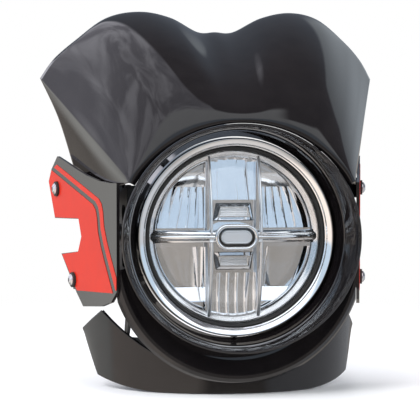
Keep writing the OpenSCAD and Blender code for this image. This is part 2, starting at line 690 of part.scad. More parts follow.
// Clear lens: a dome on a flat edge, both faces round
dome_r = ring_in + 2.5;
function sphere_for(chord, rise) = (chord * chord + rise * rise) / (2 * rise);
function dome(r, apex_q, ball) = [r, apex_q + ball - sqrt(ball * ball - r * r)];
module lamp_lens() {
    ball = sphere_for(dome_r, lens_dome);
    outer = [for (f = [0:1/24:1]) dome(dome_r * f, lens_q - lens_dome, ball)];
    inner = [for (f = [1:-1/24:0]) dome((dome_r - 1) * f, lens_q - lens_dome + lens_t, ball - lens_t)];
    color([0.9, 0.95, 1, 0.35]) turned() polygon([for (p = concat(outer,
        [[lens_r, lens_q], [lens_r, lens_q + lens_t], [dome_r - 0.4, lens_q + lens_t]], inner))
        [p[0], behind_rim(p[1])]]);
}

// Chrome frame behind the lens: a ring, a cross bar and two pairs of ribs that follow the dome
oval_w = 42;
oval_h = 25;
rib_x = 24;
bar_h = 11;
rib_w = 3.6;
function under_dome(r, gap) = let (ball = sphere_for(dome_r, lens_dome) - lens_t)
    dome(r, lens_q - lens_dome + lens_t + gap, ball);
module spoke_profile(r0, depth) {
    polygon([for (p = concat([for (f = [0:0.125:1]) under_dome(mix(r0, ring_in + 1, f), 1.5)],
        [[ring_in + 1, mirror_q]],
        [for (f = [1:-0.25:0]) under_dome(mix(r0, ring_in - 3, f), 1.5 + depth)]))
        [p[0], behind_rim(p[1])]]);
}
module stadium(w, h) {
    for (s = sides) translate([s * (w - h) / 2, 0]) circle(d = h);
    translate([(h - w) / 2, -h / 2]) square([w - h, h]);
}
module facing(q0, q1) {
    translate([0, behind_rim(q1), 0]) rotate([90, 0, 0]) linear_extrude(q1 - q0) children();
}
module bezel_frame() {
    color([0.85, 0.86, 0.88]) difference() {
        union() {
            turned() polygon([for (p = [[ring_in, mirror_q], [ring_in, base_q + 1.5],
                [ring_in + 1.2, base_q], [seal_in - 0.6, base_q], [seal_in, base_q + 1],
                [seal_in, mirror_q]]) [p[0], behind_rim(p[1])]]);
            for (s = sides) on_side(s) {
                translate([0, 0, -bar_h / 2]) linear_extrude(bar_h) spoke_profile(oval_w / 2 - 4, 6);
                for (u = sides) translate([rib_x - rib_w / 2, 0, 0]) rotate([u > 0 ? 0 : 180, 0, 0]) rib(u);
            }
            facing(under_dome(oval_w / 2, 1)[1], mirror_q) stadium(oval_w, oval_h);
        }
        facing(-10, 10) stadium(oval_w - 7, oval_h - 7);
    }
}
// A rib stands beside the middle, from the bar to the ring, and is drawn upwards
module rib(u) {
    half = bar_h / 2 - 1;
    mirror([0, u > 0 ? 0 : 1, 0]) rotate([90, 0, 90]) linear_extrude(rib_w) polygon([for (p = concat(
        [for (f = [0:0.125:1]) let (z = mix(half, sqrt(pow(ring_in + 1, 2) - rib_x * rib_x), f))
            [under_dome(norm([rib_x + rib_w, z]), 1.5)[1], z]],
        [for (f = [1:-0.25:0]) let (z = mix(half, sqrt(pow(ring_in, 2) - rib_x * rib_x), f))
            [min(under_dome(norm([rib_x, z]), 6)[1], mirror_q), z]])) [behind_rim(p[0]), p[1]]]);
}

module position_light() {
    color([0.92, 0.96, 1, 0.6]) {
        facing(4, 10) stadium(oval_w - 7.4, oval_h - 7.4);
        facing(-1, 4) stadium(oval_w - 12, oval_h - 12);
    }
}

// Reflectors: two half discs, each with a fluted chamber at both sides and in the middle, and a
// window for its projector. Upwards is the outward direction in both halves.
mirror_r = seal_in;
pocket_r = 80;
chamber_in = 27;
window_w = 41;
window_h = 17;
window_z = 23.5;
flutes = 5;
flute_r = 4.6;
// Side chamber of each half: [foot, knee, top] heights and the depths at foot and knee
upper_chamber = [[8, 47, 61], [34, 38]];
lower_chamber = [[10, 51, 66], [36, 39]];
side_flutes = 6;
side_flute_r = 5.2;
chip_hole_r = 3.6;
chip_spot = [50, 14];
module half_disc() {
    intersection() {
        rod_y(mirror_r, behind_rim(mirror_q), behind_rim(board_q));
        translate([-mirror_r, behind_rim(mirror_q), 0]) cube([2 * mirror_r, board_q - mirror_q, mirror_r]);
    }
}
module side_chamber(shape) {
    z = shape[0];
    q = shape[1];
    lean = atan2(q[1] - q[0], z[1] - z[0]);
    pitch = (pocket_r - chamber_in) / side_flutes;
    for (s = sides) intersection() {
        rod_y(pocket_r, behind_rim(-30), behind_rim(board_q));
        translate([s > 0 ? chamber_in : -pocket_r, behind_rim(-30), z[0]])
            cube([pocket_r - chamber_in, 100, z[2] - z[0]]);
        union() {
            translate([-pocket_r, 0, 0]) rotate([90, 0, 90]) linear_extrude(2 * pocket_r) polygon([
                [behind_rim(-30), z[0]], [behind_rim(q[0]), z[0]], [behind_rim(q[1]), z[1]],
                [behind_rim(mirror_q + 2), z[2]], [behind_rim(-30), z[2]]]);
            for (k = [0:side_flutes - 1]) intersection() {
                translate([s * (chamber_in + pitch * (k + 0.5)), behind_rim(q[0] - 2.6), z[0]])
                    rotate([-lean, 0, 0]) translate([0, 0, -20]) cylinder(r = side_flute_r, h = 100);
                translate([-pocket_r, behind_rim(mirror_q - 1), z[0]])
                    cube([2 * pocket_r, 60, z[1] - z[0]]);
            }
        }
    }
}
module middle_chamber() {
    low = window_z + window_h / 2 + 3;
    floor_q = mirror_q + 4;
    pitch = 1.9 * flute_r;
    intersection() {
        rod_y(pocket_r, behind_rim(-30), behind_rim(board_q));
        translate([-rib_x + 2, behind_rim(0), low]) cube([2 * rib_x - 4, board_q, pocket_r - low]);
        union() {
            translate([-rib_x, behind_rim(0), 0]) cube([2 * rib_x, floor_q, pocket_r]);
            for (k = [0:flutes - 1]) translate([(k - (flutes - 1) / 2) * pitch, behind_rim(floor_q), 0])
                cylinder(r = flute_r, h = pocket_r);
        }
    }
}
module reflector(shape) {
    difference() {
        half_disc();
        side_chamber(shape);
        middle_chamber();
        translate([-window_w / 2, behind_rim(0), window_z - window_h / 2]) cube([window_w, 100, window_h]);
        for (s = sides) translate([s * chip_spot[0], 0, chip_spot[1]])
            rod_y(chip_hole_r, behind_rim(mirror_q), behind_rim(board_q + 1));
    }
}
module upper_reflector() color([0.8, 0.82, 0.84]) reflector(upper_chamber);
module lower_reflector() color([0.72, 0.74, 0.76]) mirror([0, 0, 1]) reflector(lower_chamber);

// Projectors: tapered chrome shrouds above and below the oval, each with a flat lens
shroud_top = 39;
shroud_foot = 33;
shroud_taper = 3;
shroud_front_q = mirror_q - 6;
shroud_back_q = board_q - 4;
lens_w = 29;
lens_h = 8;
// Half sizes of the shroud, which taper from the reflector forwards
module tapered_side(half) {
    polygon([[behind_rim(shroud_back_q), -half], [behind_rim(mirror_q), -half],
        [behind_rim(shroud_front_q), shroud_taper - half],
        [behind_rim(shroud_front_q), half - shroud_taper],
        [behind_rim(mirror_q), half], [behind_rim(shroud_back_q), half]]);
}
module shroud() {
    h = window_h / 2 - 0.4;
    translate([0, 0, window_z]) difference() {
        intersection() {
            facing(shroud_front_q, shroud_back_q) polygon([[-shroud_foot / 2, h], [shroud_foot / 2, h],
                [shroud_top / 2, -h], [-shroud_top / 2, -h]]);
            translate([-shroud_top, 0, 0]) rotate([90, 0, 90]) linear_extrude(2 * shroud_top)
                tapered_side(h);
            translate([0, 0, -shroud_top]) linear_extrude(2 * shroud_top) mirror([1, -1, 0])
                tapered_side(shroud_top / 2);
        }
        facing(0, board_q) square([lens_w, lens_h], center = true);
    }
}
module upper_projector() color([0.82, 0.84, 0.86]) shroud();
module lower_projector() color([0.82, 0.84, 0.86]) mirror([0, 0, 1]) shroud();
module projector_lenses() {
    color([0.9, 0.95, 1, 0.5]) for (u = sides) facing(mirror_q - 4.5, mirror_q + 6)
        translate([0, u * window_z]) square([lens_w - 0.4, lens_h - 0.4], center = true);
}

chip_h = 1.2;
module led_chips() {
    color([0.95, 0.9, 0.5]) for (u = sides) {
        for (x = [-9, 0, 9]) facing(board_q - chip_h, board_q) translate([x, u * window_z])
            square(3.5, center = true);
        for (s = sides) facing(board_q - chip_h, board_q) translate([s * chip_spot[0], u * chip_spot[1]])
            square(4.6, center = true);
    }
}
module led_board() {
    color([0.1, 0.3, 0.16]) rod_y(mirror_r - 6, behind_rim(board_q), behind_rim(board_q + board_t));
}

// Lamp base: a cast cup that holds the lamp's inner parts, with cooling fins behind
cup_in = mirror_r + 0.3;
cup_wall = 2;
fin_t = 3;
fin_reach = 46;
module lamp_base() {
    floor_q = board_q + board_t;
    back_q = floor_q + base_floor;
    color([0.6, 0.61, 0.62]) {
        turned() polygon([for (p = [[0, floor_q], [cup_in, floor_q], [cup_in, base_q], [lens_r, base_q],
            [lens_r, bucket_q], [cup_in + cup_wall, bucket_q], [cup_in + cup_wall, back_q], [0, back_q]])
            [p[0], behind_rim(p[1])]]);
        for (k = [0:fin_count - 1]) let (x = fin_reach * (2 * k / (fin_count - 1) - 1))
            translate([x - fin_t / 2, behind_rim(back_q - 0.5), -sqrt(3600 - x * x)])
            cube([fin_t, fin_h + 0.5, 2 * sqrt(3600 - x * x)]);
    }
}

// Lamp bucket: the shell behind the lamp, with a boss for each pivot bolt
wire_z = -30;
grommet_r = 9;
boss_r = 14;
function bucket_profile(inset) = let (
    front = cup_in + cup_wall + 0.3 + bucket_wall - inset,
    waist = board_q + board_t + base_floor + 3
) concat([[front, bucket_q]], [for (f = [0:0.1:1]) [
    bucket_back_r - inset + (front - bucket_back_r + inset) * sqrt(1 - pow(f, 2.6)),
    mix(waist, bucket_depth - 6, f)]],
    [[bucket_back_r - inset - 5, bucket_depth - inset]]);
module lamp_bucket() {
    lug_in = rim_in + rim_wall + 0.4;
    lug_out = rim_r - rim_wall - seat;
    color([0.12, 0.12, 0.13]) difference() {
        union() {
            turned() polygon([for (p = concat([[0, bucket_q]], bucket_profile(0), [[0, bucket_depth]]))
                [p[0], behind_rim(p[1])]]);
            turned() translate([cup_in + cup_wall + 0.3, behind_rim(bucket_q)])
                square([lug_out - cup_in - cup_wall - 0.3, 2]);
            intersection() {
                turned() translate([lug_in, behind_rim(8)]) square([lug_out - lug_in, bucket_q - 8]);
                translate([-5, behind_rim(0), -lug_out - 1]) cube([10, 30, 20]);
            }
            for (s = sides) on_side(s) translate([0, pivot_y, 0]) rod_x(boss_r, bucket_back_r, stay_in);
        }
        turned() polygon([for (p = concat([[0, bucket_q - 1]], [[cup_in + cup_wall + 0.3, bucket_q - 1]],
            bucket_profile(bucket_wall), [[0, bucket_depth - bucket_wall]])) [p[0], behind_rim(p[1])]]);
        for (s = sides) on_side(s) translate([0, pivot_y, 0])
            rod_x(pivot_r + 0.1, stay_in - boss_len, stay_in + 1);
        translate([0, 0, wire_z]) rod_y(grommet_r, behind_rim(bucket_depth - 10), 0);
        translate([0, behind_rim(rim_screw_q), -rim_r]) cylinder(r = 2.1, h = 10);
    }
}

module wiring_grommet() {
    q = bucket_depth;
    color([0.04, 0.04, 0.04]) translate([0, 0, wire_z]) turned() polygon([for (p = [[wire_r, q - 5],
        [grommet_r + 2.5, q - 5], [grommet_r + 3, q - bucket_wall], [grommet_r - 0.1, q - bucket_wall],
        [grommet_r - 0.1, q], [grommet_r + 3, q], [grommet_r + 2, q + 3.5], [wire_r + 2, q + 5],
        [wire_r, q + 5]])
        [p[0], behind_rim(p[1])]]);
}

upper_cowl();
lamp_collar();
lower_lip();
chin_cowl();
left_side_panel();
right_side_panel();
left_stripe_film();
right_stripe_film();
left_upper_panel_bolt();
left_lower_panel_bolt();
right_upper_panel_bolt();
right_lower_panel_bolt();
left_upper_washer();
left_lower_washer();
right_upper_washer();
right_lower_washer();
left_panel_bracket();
right_panel_bracket();
left_lamp_stay();
right_lamp_stay();
bracket_screws();
left_pivot_bolt();
right_pivot_bolt();
left_pivot_washer();
right_pivot_washer();
cowl_bridge();
cowl_pads();
collar_screws();
chin_brackets();
lamp_bucket();
lamp_rim();
rim_screw();
rim_seal();
lamp_lens();
bezel_frame();
position_light();
upper_reflector();
lower_reflector();
upper_projector();
lower_projector();
projector_lenses();
led_chips();
led_board();
lamp_base();
wiring_grommet();
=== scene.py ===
# Headlight cowl with its round lamp fitted, dressed for a studio picture
import json
import math
import bpy
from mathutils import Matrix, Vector


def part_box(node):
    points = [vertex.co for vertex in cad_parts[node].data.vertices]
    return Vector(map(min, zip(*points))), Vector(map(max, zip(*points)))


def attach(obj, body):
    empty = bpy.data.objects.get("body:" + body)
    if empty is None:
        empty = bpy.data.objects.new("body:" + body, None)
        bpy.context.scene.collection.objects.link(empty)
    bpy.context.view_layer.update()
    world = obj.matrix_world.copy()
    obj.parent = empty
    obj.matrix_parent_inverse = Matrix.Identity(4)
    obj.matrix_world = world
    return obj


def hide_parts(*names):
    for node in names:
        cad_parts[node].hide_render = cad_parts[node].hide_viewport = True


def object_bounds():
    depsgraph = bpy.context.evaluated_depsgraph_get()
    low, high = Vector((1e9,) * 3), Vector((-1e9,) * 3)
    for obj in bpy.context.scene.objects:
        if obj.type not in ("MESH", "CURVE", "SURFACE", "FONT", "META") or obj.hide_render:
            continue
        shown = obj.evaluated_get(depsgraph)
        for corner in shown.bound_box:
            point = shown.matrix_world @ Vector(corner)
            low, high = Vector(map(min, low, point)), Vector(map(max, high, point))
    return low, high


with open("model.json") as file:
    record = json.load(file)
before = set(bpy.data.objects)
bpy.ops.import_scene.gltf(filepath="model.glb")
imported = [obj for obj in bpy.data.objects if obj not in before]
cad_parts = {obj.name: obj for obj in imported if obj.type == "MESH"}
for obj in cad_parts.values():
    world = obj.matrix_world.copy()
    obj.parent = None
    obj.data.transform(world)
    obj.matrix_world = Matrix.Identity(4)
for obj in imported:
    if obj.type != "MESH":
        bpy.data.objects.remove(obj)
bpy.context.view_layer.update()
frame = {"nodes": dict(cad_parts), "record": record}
nodes = frame["nodes"]
mm = 0.001
seat = 0.3  # clearance between pieces that seat on each other
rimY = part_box("lamp_rim")[0].y / mm  # front of the chrome rim
collection = bpy.context.scene.collection
print("frame loaded,", len(nodes), "nodes")

# camera, where the photographer stood
cameraSettings = {
    "place": (-0.34682, -2.13692, 0.10467),
    "forward": (0.16098561, 0.98617133, -0.03936666),
    "lens": 179.503,
    "sensor": 36,
    "clip": (0.05, 60),
}


def makeCamera():
    s = cameraSettings
    data = bpy.data.cameras.new("studioCamera")
    data.sensor_width = s["sensor"]
    data.lens = s["lens"]
    data.clip_start, data.clip_end = s["clip"]
    cam = bpy.data.objects.new("studioCamera", data)
    collection.objects.link(cam)
    cam.location = s["place"]
    cam.rotation_mode = "QUATERNION"
    cam.rotation_quaternion = Vector(s["forward"]).to_track_quat("-Z", "Y")
    bpy.context.scene.camera = cam


makeCamera()
bpy.context.scene.view_settings.view_transform = "Standard"


# small helpers for meshes and materials
def between(a, b, f):
    return a + (b - a) * f


def addPiece(name, points, faces, material, smooth=True, faceSlots=None, materials=None):
    mesh = bpy.data.meshes.new(name)
    mesh.from_pydata([(p[0] * mm, p[1] * mm, p[2] * mm) for p in points], [], faces)
    for m in materials or [material]:
        mesh.materials.append(m)
    if faceSlots:
        mesh.polygons.foreach_set("material_index", faceSlots)
    mesh.polygons.foreach_set("use_smooth", [smooth] * len(mesh.polygons))
    mesh.update()
    piece = bpy.data.objects.new(name, mesh)
    collection.objects.link(piece)
    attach(piece, "root")
    return piece


def splitEdges(piece, degrees):
    # folds sharper than this stay crisp under smooth shading
    crisp = piece.modifiers.new("crispFolds", "EDGE_SPLIT")
    crisp.split_angle = math.radians(degrees)


def makeGroup(name, inputs, outputs):
    # a shader node group with named sockets
    tree = bpy.data.node_groups.new(name, "ShaderNodeTree")
    for label, value in inputs:
        socket = tree.interface.new_socket(label, in_out="INPUT", socket_type="NodeSocketFloat")
        socket.default_value = value
    for label, kind in outputs:
        tree.interface.new_socket(label, in_out="OUTPUT", socket_type=kind)
    return tree, tree.nodes.new("NodeGroupInput"), tree.nodes.new("NodeGroupOutput")


def mixValue(tree, factor, low, high):
    # low to high by a factor from 0 to 1; low and high are sockets or numbers
    node = tree.nodes.new("ShaderNodeMapRange")
    tree.links.new(factor, node.inputs["Value"])
    for socket, value in (("To Min", low), ("To Max", high)):
        if isinstance(value, (int, float)):
            node.inputs[socket].default_value = value
        else:
            tree.links.new(value, node.inputs[socket])
    return node.outputs["Result"]


# textures shared by the materials: smears, ripples, grain and worn edges
textureSettings = {
    "smearDetail": 5, "smearRoughness": 0.62, "rippleScale": 26, "rippleDepth": 0.002,
    "grainDetail": 3, "grainDepth": 0.0006, "patchScale": 30, "patchDetail": 4,
    "edgeFull": 0.7, "edgeDetail": 4, "rampFrom": 0.3, "rampTo": 0.7,
    "paintScale": 34.0, "coatRoughness": 0.02, "clearScale": 22.0, "clearIor": 1.45,
}


def newNoise(tree, **values):
    node = tree.nodes.new("ShaderNodeTexNoise")
    for label, value in values.items():
        node.inputs[label].default_value = value
    return node


def makePolishGroup():
    # faint smears in the shine, and the ripple of a moulded or plated surface
    s = textureSettings
    tree, inp, out = makeGroup("polishMarks",
        [("Scale", 40.0), ("Low", 0.03), ("High", 0.1), ("Ripple", 0.02)],
        [("Roughness", "NodeSocketFloat"), ("Normal", "NodeSocketVector"), ("Mask", "NodeSocketFloat")])
    where = tree.nodes.new("ShaderNodeTexCoord")
    smear = newNoise(tree, Detail=s["smearDetail"], Roughness=s["smearRoughness"])
    ripple = newNoise(tree, Detail=1, Scale=s["rippleScale"])
    bump = tree.nodes.new("ShaderNodeBump")
    bump.inputs["Distance"].default_value = s["rippleDepth"]
    links = tree.links
    links.new(where.outputs["Object"], smear.inputs["Vector"])
    links.new(inp.outputs["Scale"], smear.inputs["Scale"])
    links.new(where.outputs["Object"], ripple.inputs["Vector"])
    links.new(ripple.outputs["Fac"], bump.inputs["Height"])
    links.new(inp.outputs["Ripple"], bump.inputs["Strength"])
    links.new(mixValue(tree, smear.outputs["Fac"], inp.outputs["Low"], inp.outputs["High"]), out.inputs["Roughness"])
    links.new(bump.outputs["Normal"], out.inputs["Normal"])
    links.new(smear.outputs["Fac"], out.inputs["Mask"])
    return tree


def makeGrainGroup():
    # fine grain of powder coat, rubber, cast metal and textured plastic
    s = textureSettings
    tree, inp, out = makeGroup("fineGrain",
        [("Scale", 900.0), ("Depth", 0.2), ("Low", 0.4), ("High", 0.6)],
        [("Roughness", "NodeSocketFloat"), ("Normal", "NodeSocketVector"), ("Mask", "NodeSocketFloat")])
    where = tree.nodes.new("ShaderNodeTexCoord")
    grain = newNoise(tree, Detail=s["grainDetail"])
    patches = newNoise(tree, Scale=s["patchScale"], Detail=s["patchDetail"])
    bump = tree.nodes.new("ShaderNodeBump")
    bump.inputs["Distance"].default_value = s["grainDepth"]
    links = tree.links
    for texture in (grain, patches):
        links.new(where.outputs["Object"], texture.inputs["Vector"])
    links.new(inp.outputs["Scale"], grain.inputs["Scale"])
    links.new(grain.outputs["Fac"], bump.inputs["Height"])
    links.new(inp.outputs["Depth"], bump.inputs["Strength"])
    links.new(mixValue(tree, patches.outputs["Fac"], inp.outputs["Low"], inp.outputs["High"]), out.inputs["Roughness"])
    links.new(bump.outputs["Normal"], out.inputs["Normal"])
    links.new(patches.outputs["Fac"], out.inputs["Mask"])
    return tree


def makeEdgeGroup():
    # a mask that is 1 on outer edges, broken up by noise
    s = textureSettings
    tree, inp, out = makeGroup("edgeWear", [("Reach", 0.55), ("Breakup", 120.0)], [("Mask", "NodeSocketFloat")])
    geometry = tree.nodes.new("ShaderNodeNewGeometry")
    edge = tree.nodes.new("ShaderNodeMapRange")
    edge.inputs["From Max"].default_value = s["edgeFull"]
    where = tree.nodes.new("ShaderNodeTexCoord")
    noise = newNoise(tree, Detail=s["edgeDetail"])
    times = tree.nodes.new("ShaderNodeMath")
    times.operation = "MULTIPLY"
    times.use_clamp = True
    links = tree.links
    links.new(geometry.outputs["Pointiness"], edge.inputs["Value"])
    links.new(inp.outputs["Reach"], edge.inputs["From Min"])
    links.new(where.outputs["Object"], noise.inputs["Vector"])
    links.new(inp.outputs["Breakup"], noise.inputs["Scale"])
    links.new(edge.outputs["Result"], times.inputs[0])
    links.new(noise.outputs["Fac"], times.inputs[1])
    links.new(times.outputs[0], out.inputs["Mask"])
    return tree


groups = {"polish": makePolishGroup(), "grain": makeGrainGroup(), "edge": makeEdgeGroup()}


def newMaterial(name):
    material = bpy.data.materials.new(name)
    material.use_nodes = True
    tree = material.node_tree
    return material, tree, tree.nodes["Principled BSDF"]


def placeGroup(tree, group, **values):
    node = tree.nodes.new("ShaderNodeGroup")
    node.node_tree = groups[group]
    for label, value in values.items():
        node.inputs[label].default_value = value
    return node


def colourBy(tree, mask, first, second):
    ramp = tree.nodes.new("ShaderNodeValToRGB")
    ramp.color_ramp.elements[0].color = (*first, 1)
    ramp.color_ramp.elements[1].color = (*second, 1)
    ramp.color_ramp.elements[0].position = textureSettings["rampFrom"]
    ramp.color_ramp.elements[1].position = textureSettings["rampTo"]
    tree.links.new(mask, ramp.inputs["Fac"])
    return ramp.outputs["Color"]


def linkMarks(tree, marks, shader, first=None, second=None):
    # roughness and normal of a group, and a colour between first and second by its mask
    tree.links.new(marks.outputs["Roughness"], shader.inputs["Roughness"])
    tree.links.new(marks.outputs["Normal"], shader.inputs["Normal"])
    if first:
        tree.links.new(colourBy(tree, marks.outputs["Mask"], first, second), shader.inputs["Base Color"])


def glossPaint(name, first, second, low, high, ripple=0.02, coat=1.0, specular=0.0):
    material, tree, shader = newMaterial(name)
    marks = placeGroup(tree, "polish", Scale=textureSettings["paintScale"], Low=low, High=high, Ripple=ripple)
    linkMarks(tree, marks, shader, first, second)
    shader.inputs["Specular IOR Level"].default_value = specular
    shader.inputs["Coat Weight"].default_value = coat
    shader.inputs["Coat Roughness"].default_value = textureSettings["coatRoughness"]
    return material


def brightMetal(name, first, second, low, high, scale=40.0, ripple=0.01):
    material, tree, shader = newMaterial(name)
    linkMarks(tree, placeGroup(tree, "polish", Scale=scale, Low=low, High=high, Ripple=ripple), shader, first, second)
    shader.inputs["Metallic"].default_value = 1
    return material


def grainySurface(name, first, second, low, high, scale, depth, metallic=0.0, worn=None):
    material, tree, shader = newMaterial(name)
    grain = placeGroup(tree, "grain", Scale=scale, Depth=depth, Low=low, High=high)
    colour = colourBy(tree, grain.outputs["Mask"], first, second)
    if worn:
        edge = placeGroup(tree, "edge")
        mix = tree.nodes.new("ShaderNodeMix")
        mix.data_type = "RGBA"
        mix.inputs["B"].default_value = (*worn, 1)
        tree.links.new(edge.outputs["Mask"], mix.inputs["Factor"])
        tree.links.new(colour, mix.inputs["A"])
        colour = mix.outputs["Result"]
    tree.links.new(colour, shader.inputs["Base Color"])
    linkMarks(tree, grain, shader)
    shader.inputs["Metallic"].default_value = metallic
    return material


def clearPlastic(name, tint, low, high, ripple=0.0, clear=1.0):
    # clear moulding; rays from the lamps pass it, so that what is behind it stays lit
    material, tree, shader = newMaterial(name)
    marks = placeGroup(tree, "polish", Scale=textureSettings["clearScale"], Low=low, High=high, Ripple=ripple)
    linkMarks(tree, marks, shader)
    shader.inputs["Base Color"].default_value = (*tint, 1)
    shader.inputs["Transmission Weight"].default_value = clear
    shader.inputs["IOR"].default_value = textureSettings["clearIor"]
    path = tree.nodes.new("ShaderNodeLightPath")
    transparent = tree.nodes.new("ShaderNodeBsdfTransparent")
    mix = tree.nodes.new("ShaderNodeMixShader")
    out = tree.nodes["Material Output"]
    tree.links.new(path.outputs["Is Shadow Ray"], mix.inputs["Fac"])
    tree.links.new(shader.outputs["BSDF"], mix.inputs[1])
    tree.links.new(transparent.outputs["BSDF"], mix.inputs[2])
    tree.links.new(mix.outputs["Shader"], out.inputs["Surface"])
    return material


# finish of each material slot: two colours, roughness from and to, then what the kind needs
finishes = {
    "gloss_black": glossPaint("glossBlack", (0.006, 0.005, 0.0055), (0.01, 0.0085, 0.009), 0.2, 0.3),
    "orange_film": glossPaint("orangeFilm", (0.49, 0.017, 0.006), (0.55, 0.022, 0.008), 0.32, 0.42, 0.01,
        coat=0.0, specular=0.15),
    "bolt_steel": brightMetal("boltSteel", (0.62, 0.62, 0.64), (0.72, 0.72, 0.74), 0.16, 0.32, 300.0),
    "zinc_steel": brightMetal("zincSteel", (0.42, 0.42, 0.44), (0.52, 0.51, 0.5), 0.26, 0.44, 220.0),
    "chrome": brightMetal("chromePlate", (0.86, 0.87, 0.88), (0.92, 0.92, 0.93), 0.02, 0.07),
    "mirror_coating": brightMetal("mirrorCoating", (0.84, 0.86, 0.89), (0.9, 0.91, 0.93), 0.03, 0.09, 60.0, 0.03),
    "rubber": grainySurface("blackRubber", (0.012, 0.012, 0.012), (0.022, 0.021, 0.02), 0.55, 0.75, 1400.0, 0.3),
    "black_steel": grainySurface("powderCoat", (0.014, 0.014, 0.015), (0.02, 0.02, 0.021), 0.38, 0.52,
        1500.0, 0.25, worn=(0.09, 0.09, 0.09)),
    "black_housing": grainySurface("housingPlastic", (0.012, 0.012, 0.013), (0.02, 0.02, 0.02), 0.5, 0.68,
        1100.0, 0.4),
    "cast_alloy": grainySurface("castAlloy", (0.4, 0.4, 0.41), (0.5, 0.5, 0.5), 0.38, 0.56, 700.0, 0.5, metallic=1.0),
    "board": grainySurface("circuitBoard", (0.012, 0.05, 0.03), (0.018, 0.07, 0.04), 0.3, 0.45, 500.0, 0.1),
    "led": grainySurface("chipGel", (0.62, 0.5, 0.16), (0.75, 0.62, 0.24), 0.25, 0.35, 900.0, 0.1),
    "clear_lens": clearPlastic("clearLens", (0.98, 0.99, 1.0), 0.0, 0.02),
    "frosted_lens": clearPlastic("milkyGuide", (0.84, 0.88, 0.93), 0.04, 0.12, 0.02, 0.4),
}
satinChrome = brightMetal("satinChrome", (0.93, 0.94, 0.95), (0.97, 0.97, 0.98), 0.3, 0.4)
mouldedBack = grainySurface("mouldedBack", (0.014, 0.014, 0.014), (0.022, 0.022, 0.022), 0.42, 0.6, 800.0, 0.35)
ribbedGlass = clearPlastic("windowGlass", (0.97, 0.98, 1.0), 0.02, 0.06, clear=0.15)

slotOf = {s["node"]: s["material_slot"] for s in frame["record"]["subparts"]}
for nodeName, carried in nodes.items():
    for place in carried.material_slots:
        place.link = "OBJECT"
        place.material = finishes[slotOf[nodeName]]
print("finishes placed on", len(nodes), "nodes")

# upper cowl: the double hump, with a thin rounded edge and a grained back
cowlSettings = {
    "wingHalfW": 173, "wingZ": 155, "wingBack": 6, "humpX": 77, "humpZ": 221,
    "valleyHalfW": 18, "valleyZ": 201, "bulge": 62, "wall": 2.6,
    "seamAngles": [29, 29.5, 30, 37, 47, 58, 68, 77, 84, 90],
    "bulgeShare": [0, 0, 0, 0.22, 0.55, 0.9, 0.9, 0.78, 0.62, 0.55],
    "seamLean": 4, "seamFlare": 9, "skirtSag": 45, "turnIn": 1,
    # powers that shape the bulge at its front and back, and the skirt's sag
    "risePowers": (0.45, 0.85), "sagPower": 1.5, "sagLess": 0.45,
    "rows": 72, "rowPower": 1.5, "steps": 12, "skirtSteps": 16,
    # ribs inside: line followed, share of the way back at both ends
    "ribs": [(3, 0.3, 0.92), (5, 0.3, 0.86), (7, 0.3, 0.86)],
    "ribH": 6, "ribT": 2, "ribBury": 0.8, "ribSteps": 30, "ribEnd": 0.04, "ribEndPower": 0.4,
}
# the collar's settings come here because the cowl seats on its lip
collarSettings = {
    "lipHalfW": 114.5, "lipHalfH": 108.5, "lipY": rimY - 36, "tubeR": 108, "tubeIn": 101,
    "flangeR": 96.2, "back": rimY + 10, "turns": 192, "curveSteps": 45,
}


def blendPoint(p, q, f):
    return tuple(a * (1 - f) + b * f for a, b in zip(p, q))


def through(points, t):
    # smooth curve through the points, t from 0 to 1
    n = len(points) - 1
    k = min(int(t * n), n - 1)
    f = t * n - k
    a, b, c, d = (points[max(0, min(n, i))] for i in (k - 1, k, k + 1, k + 2))
    return tuple(0.5 * (2 * q + (r - p) * f + (2 * p - 5 * q + 4 * r - s) * f * f + (3 * q - 3 * r + s - p) * f ** 3)
        for p, q, r, s in zip(a, b, c, d))


def sweep(points, faces, path, section):
    # section(k) gives the points of the closed cross section at path point k
    start = len(points)
    size = len(section(0))
    for k in range(len(path)):
        points += section(k)
    for k in range(len(path) - 1):
        for i in range(size):
            a, b = start + k * size + i, start + k * size + (i + 1) % size
            faces.append((a, b, b + size, a + size))
    faces.append(tuple(start + i for i in reversed(range(size))))
    faces.append(tuple(start + (len(path) - 1) * size + i for i in range(size)))


def cowlRearEdge(s):
    # points of the rear edge from the skirt's foot over wing and hump to the middle
    w, b, z, hx, hz = s["wingHalfW"], s["wingBack"], s["wingZ"], s["humpX"], s["humpZ"]
    return [(w - 30, b - 46, z - 91), (w - 15.5, b - 36, z - 41), (w, b, z), (w - 13, b - 9, z + 19),
        (w - 34, b - 24, z + 38), (hx + 32, b - 34, hz - 6), (hx, b - 48, hz), (hx - 31, b - 52, hz - 6),
        (s["valleyHalfW"], b - 49, s["valleyZ"]), (0, b - 48, s["valleyZ"])]


def cowlLine(s, k, v):
    # line k runs from the collar's lip to point k of the rear edge; v is the share of the way
    a = math.radians(s["seamAngles"][k])
    gap = s["wall"] + seat
    rx = collarSettings["lipHalfW"] + gap + s["seamFlare"] * math.cos(a) ** 2
    rz = collarSettings["lipHalfH"] + gap
    start = (rx * math.cos(a), collarSettings["lipY"] + s["seamLean"] * math.cos(a) ** 2, rz * math.sin(a))
    front, rear = s["risePowers"]
    rise = s["bulge"] * s["bulgeShare"][k] * v ** front * (1 - v) ** rear
    sag = s["skirtSag"] * (1 - s["sagLess"] * k) * v * (1 - v) ** s["sagPower"] if k < 2 else 0
    x, y, z = blendPoint(start, cowlRearEdge(s)[k], v)
    return (x + rise * math.cos(a), y, z + rise * math.sin(a) - sag)


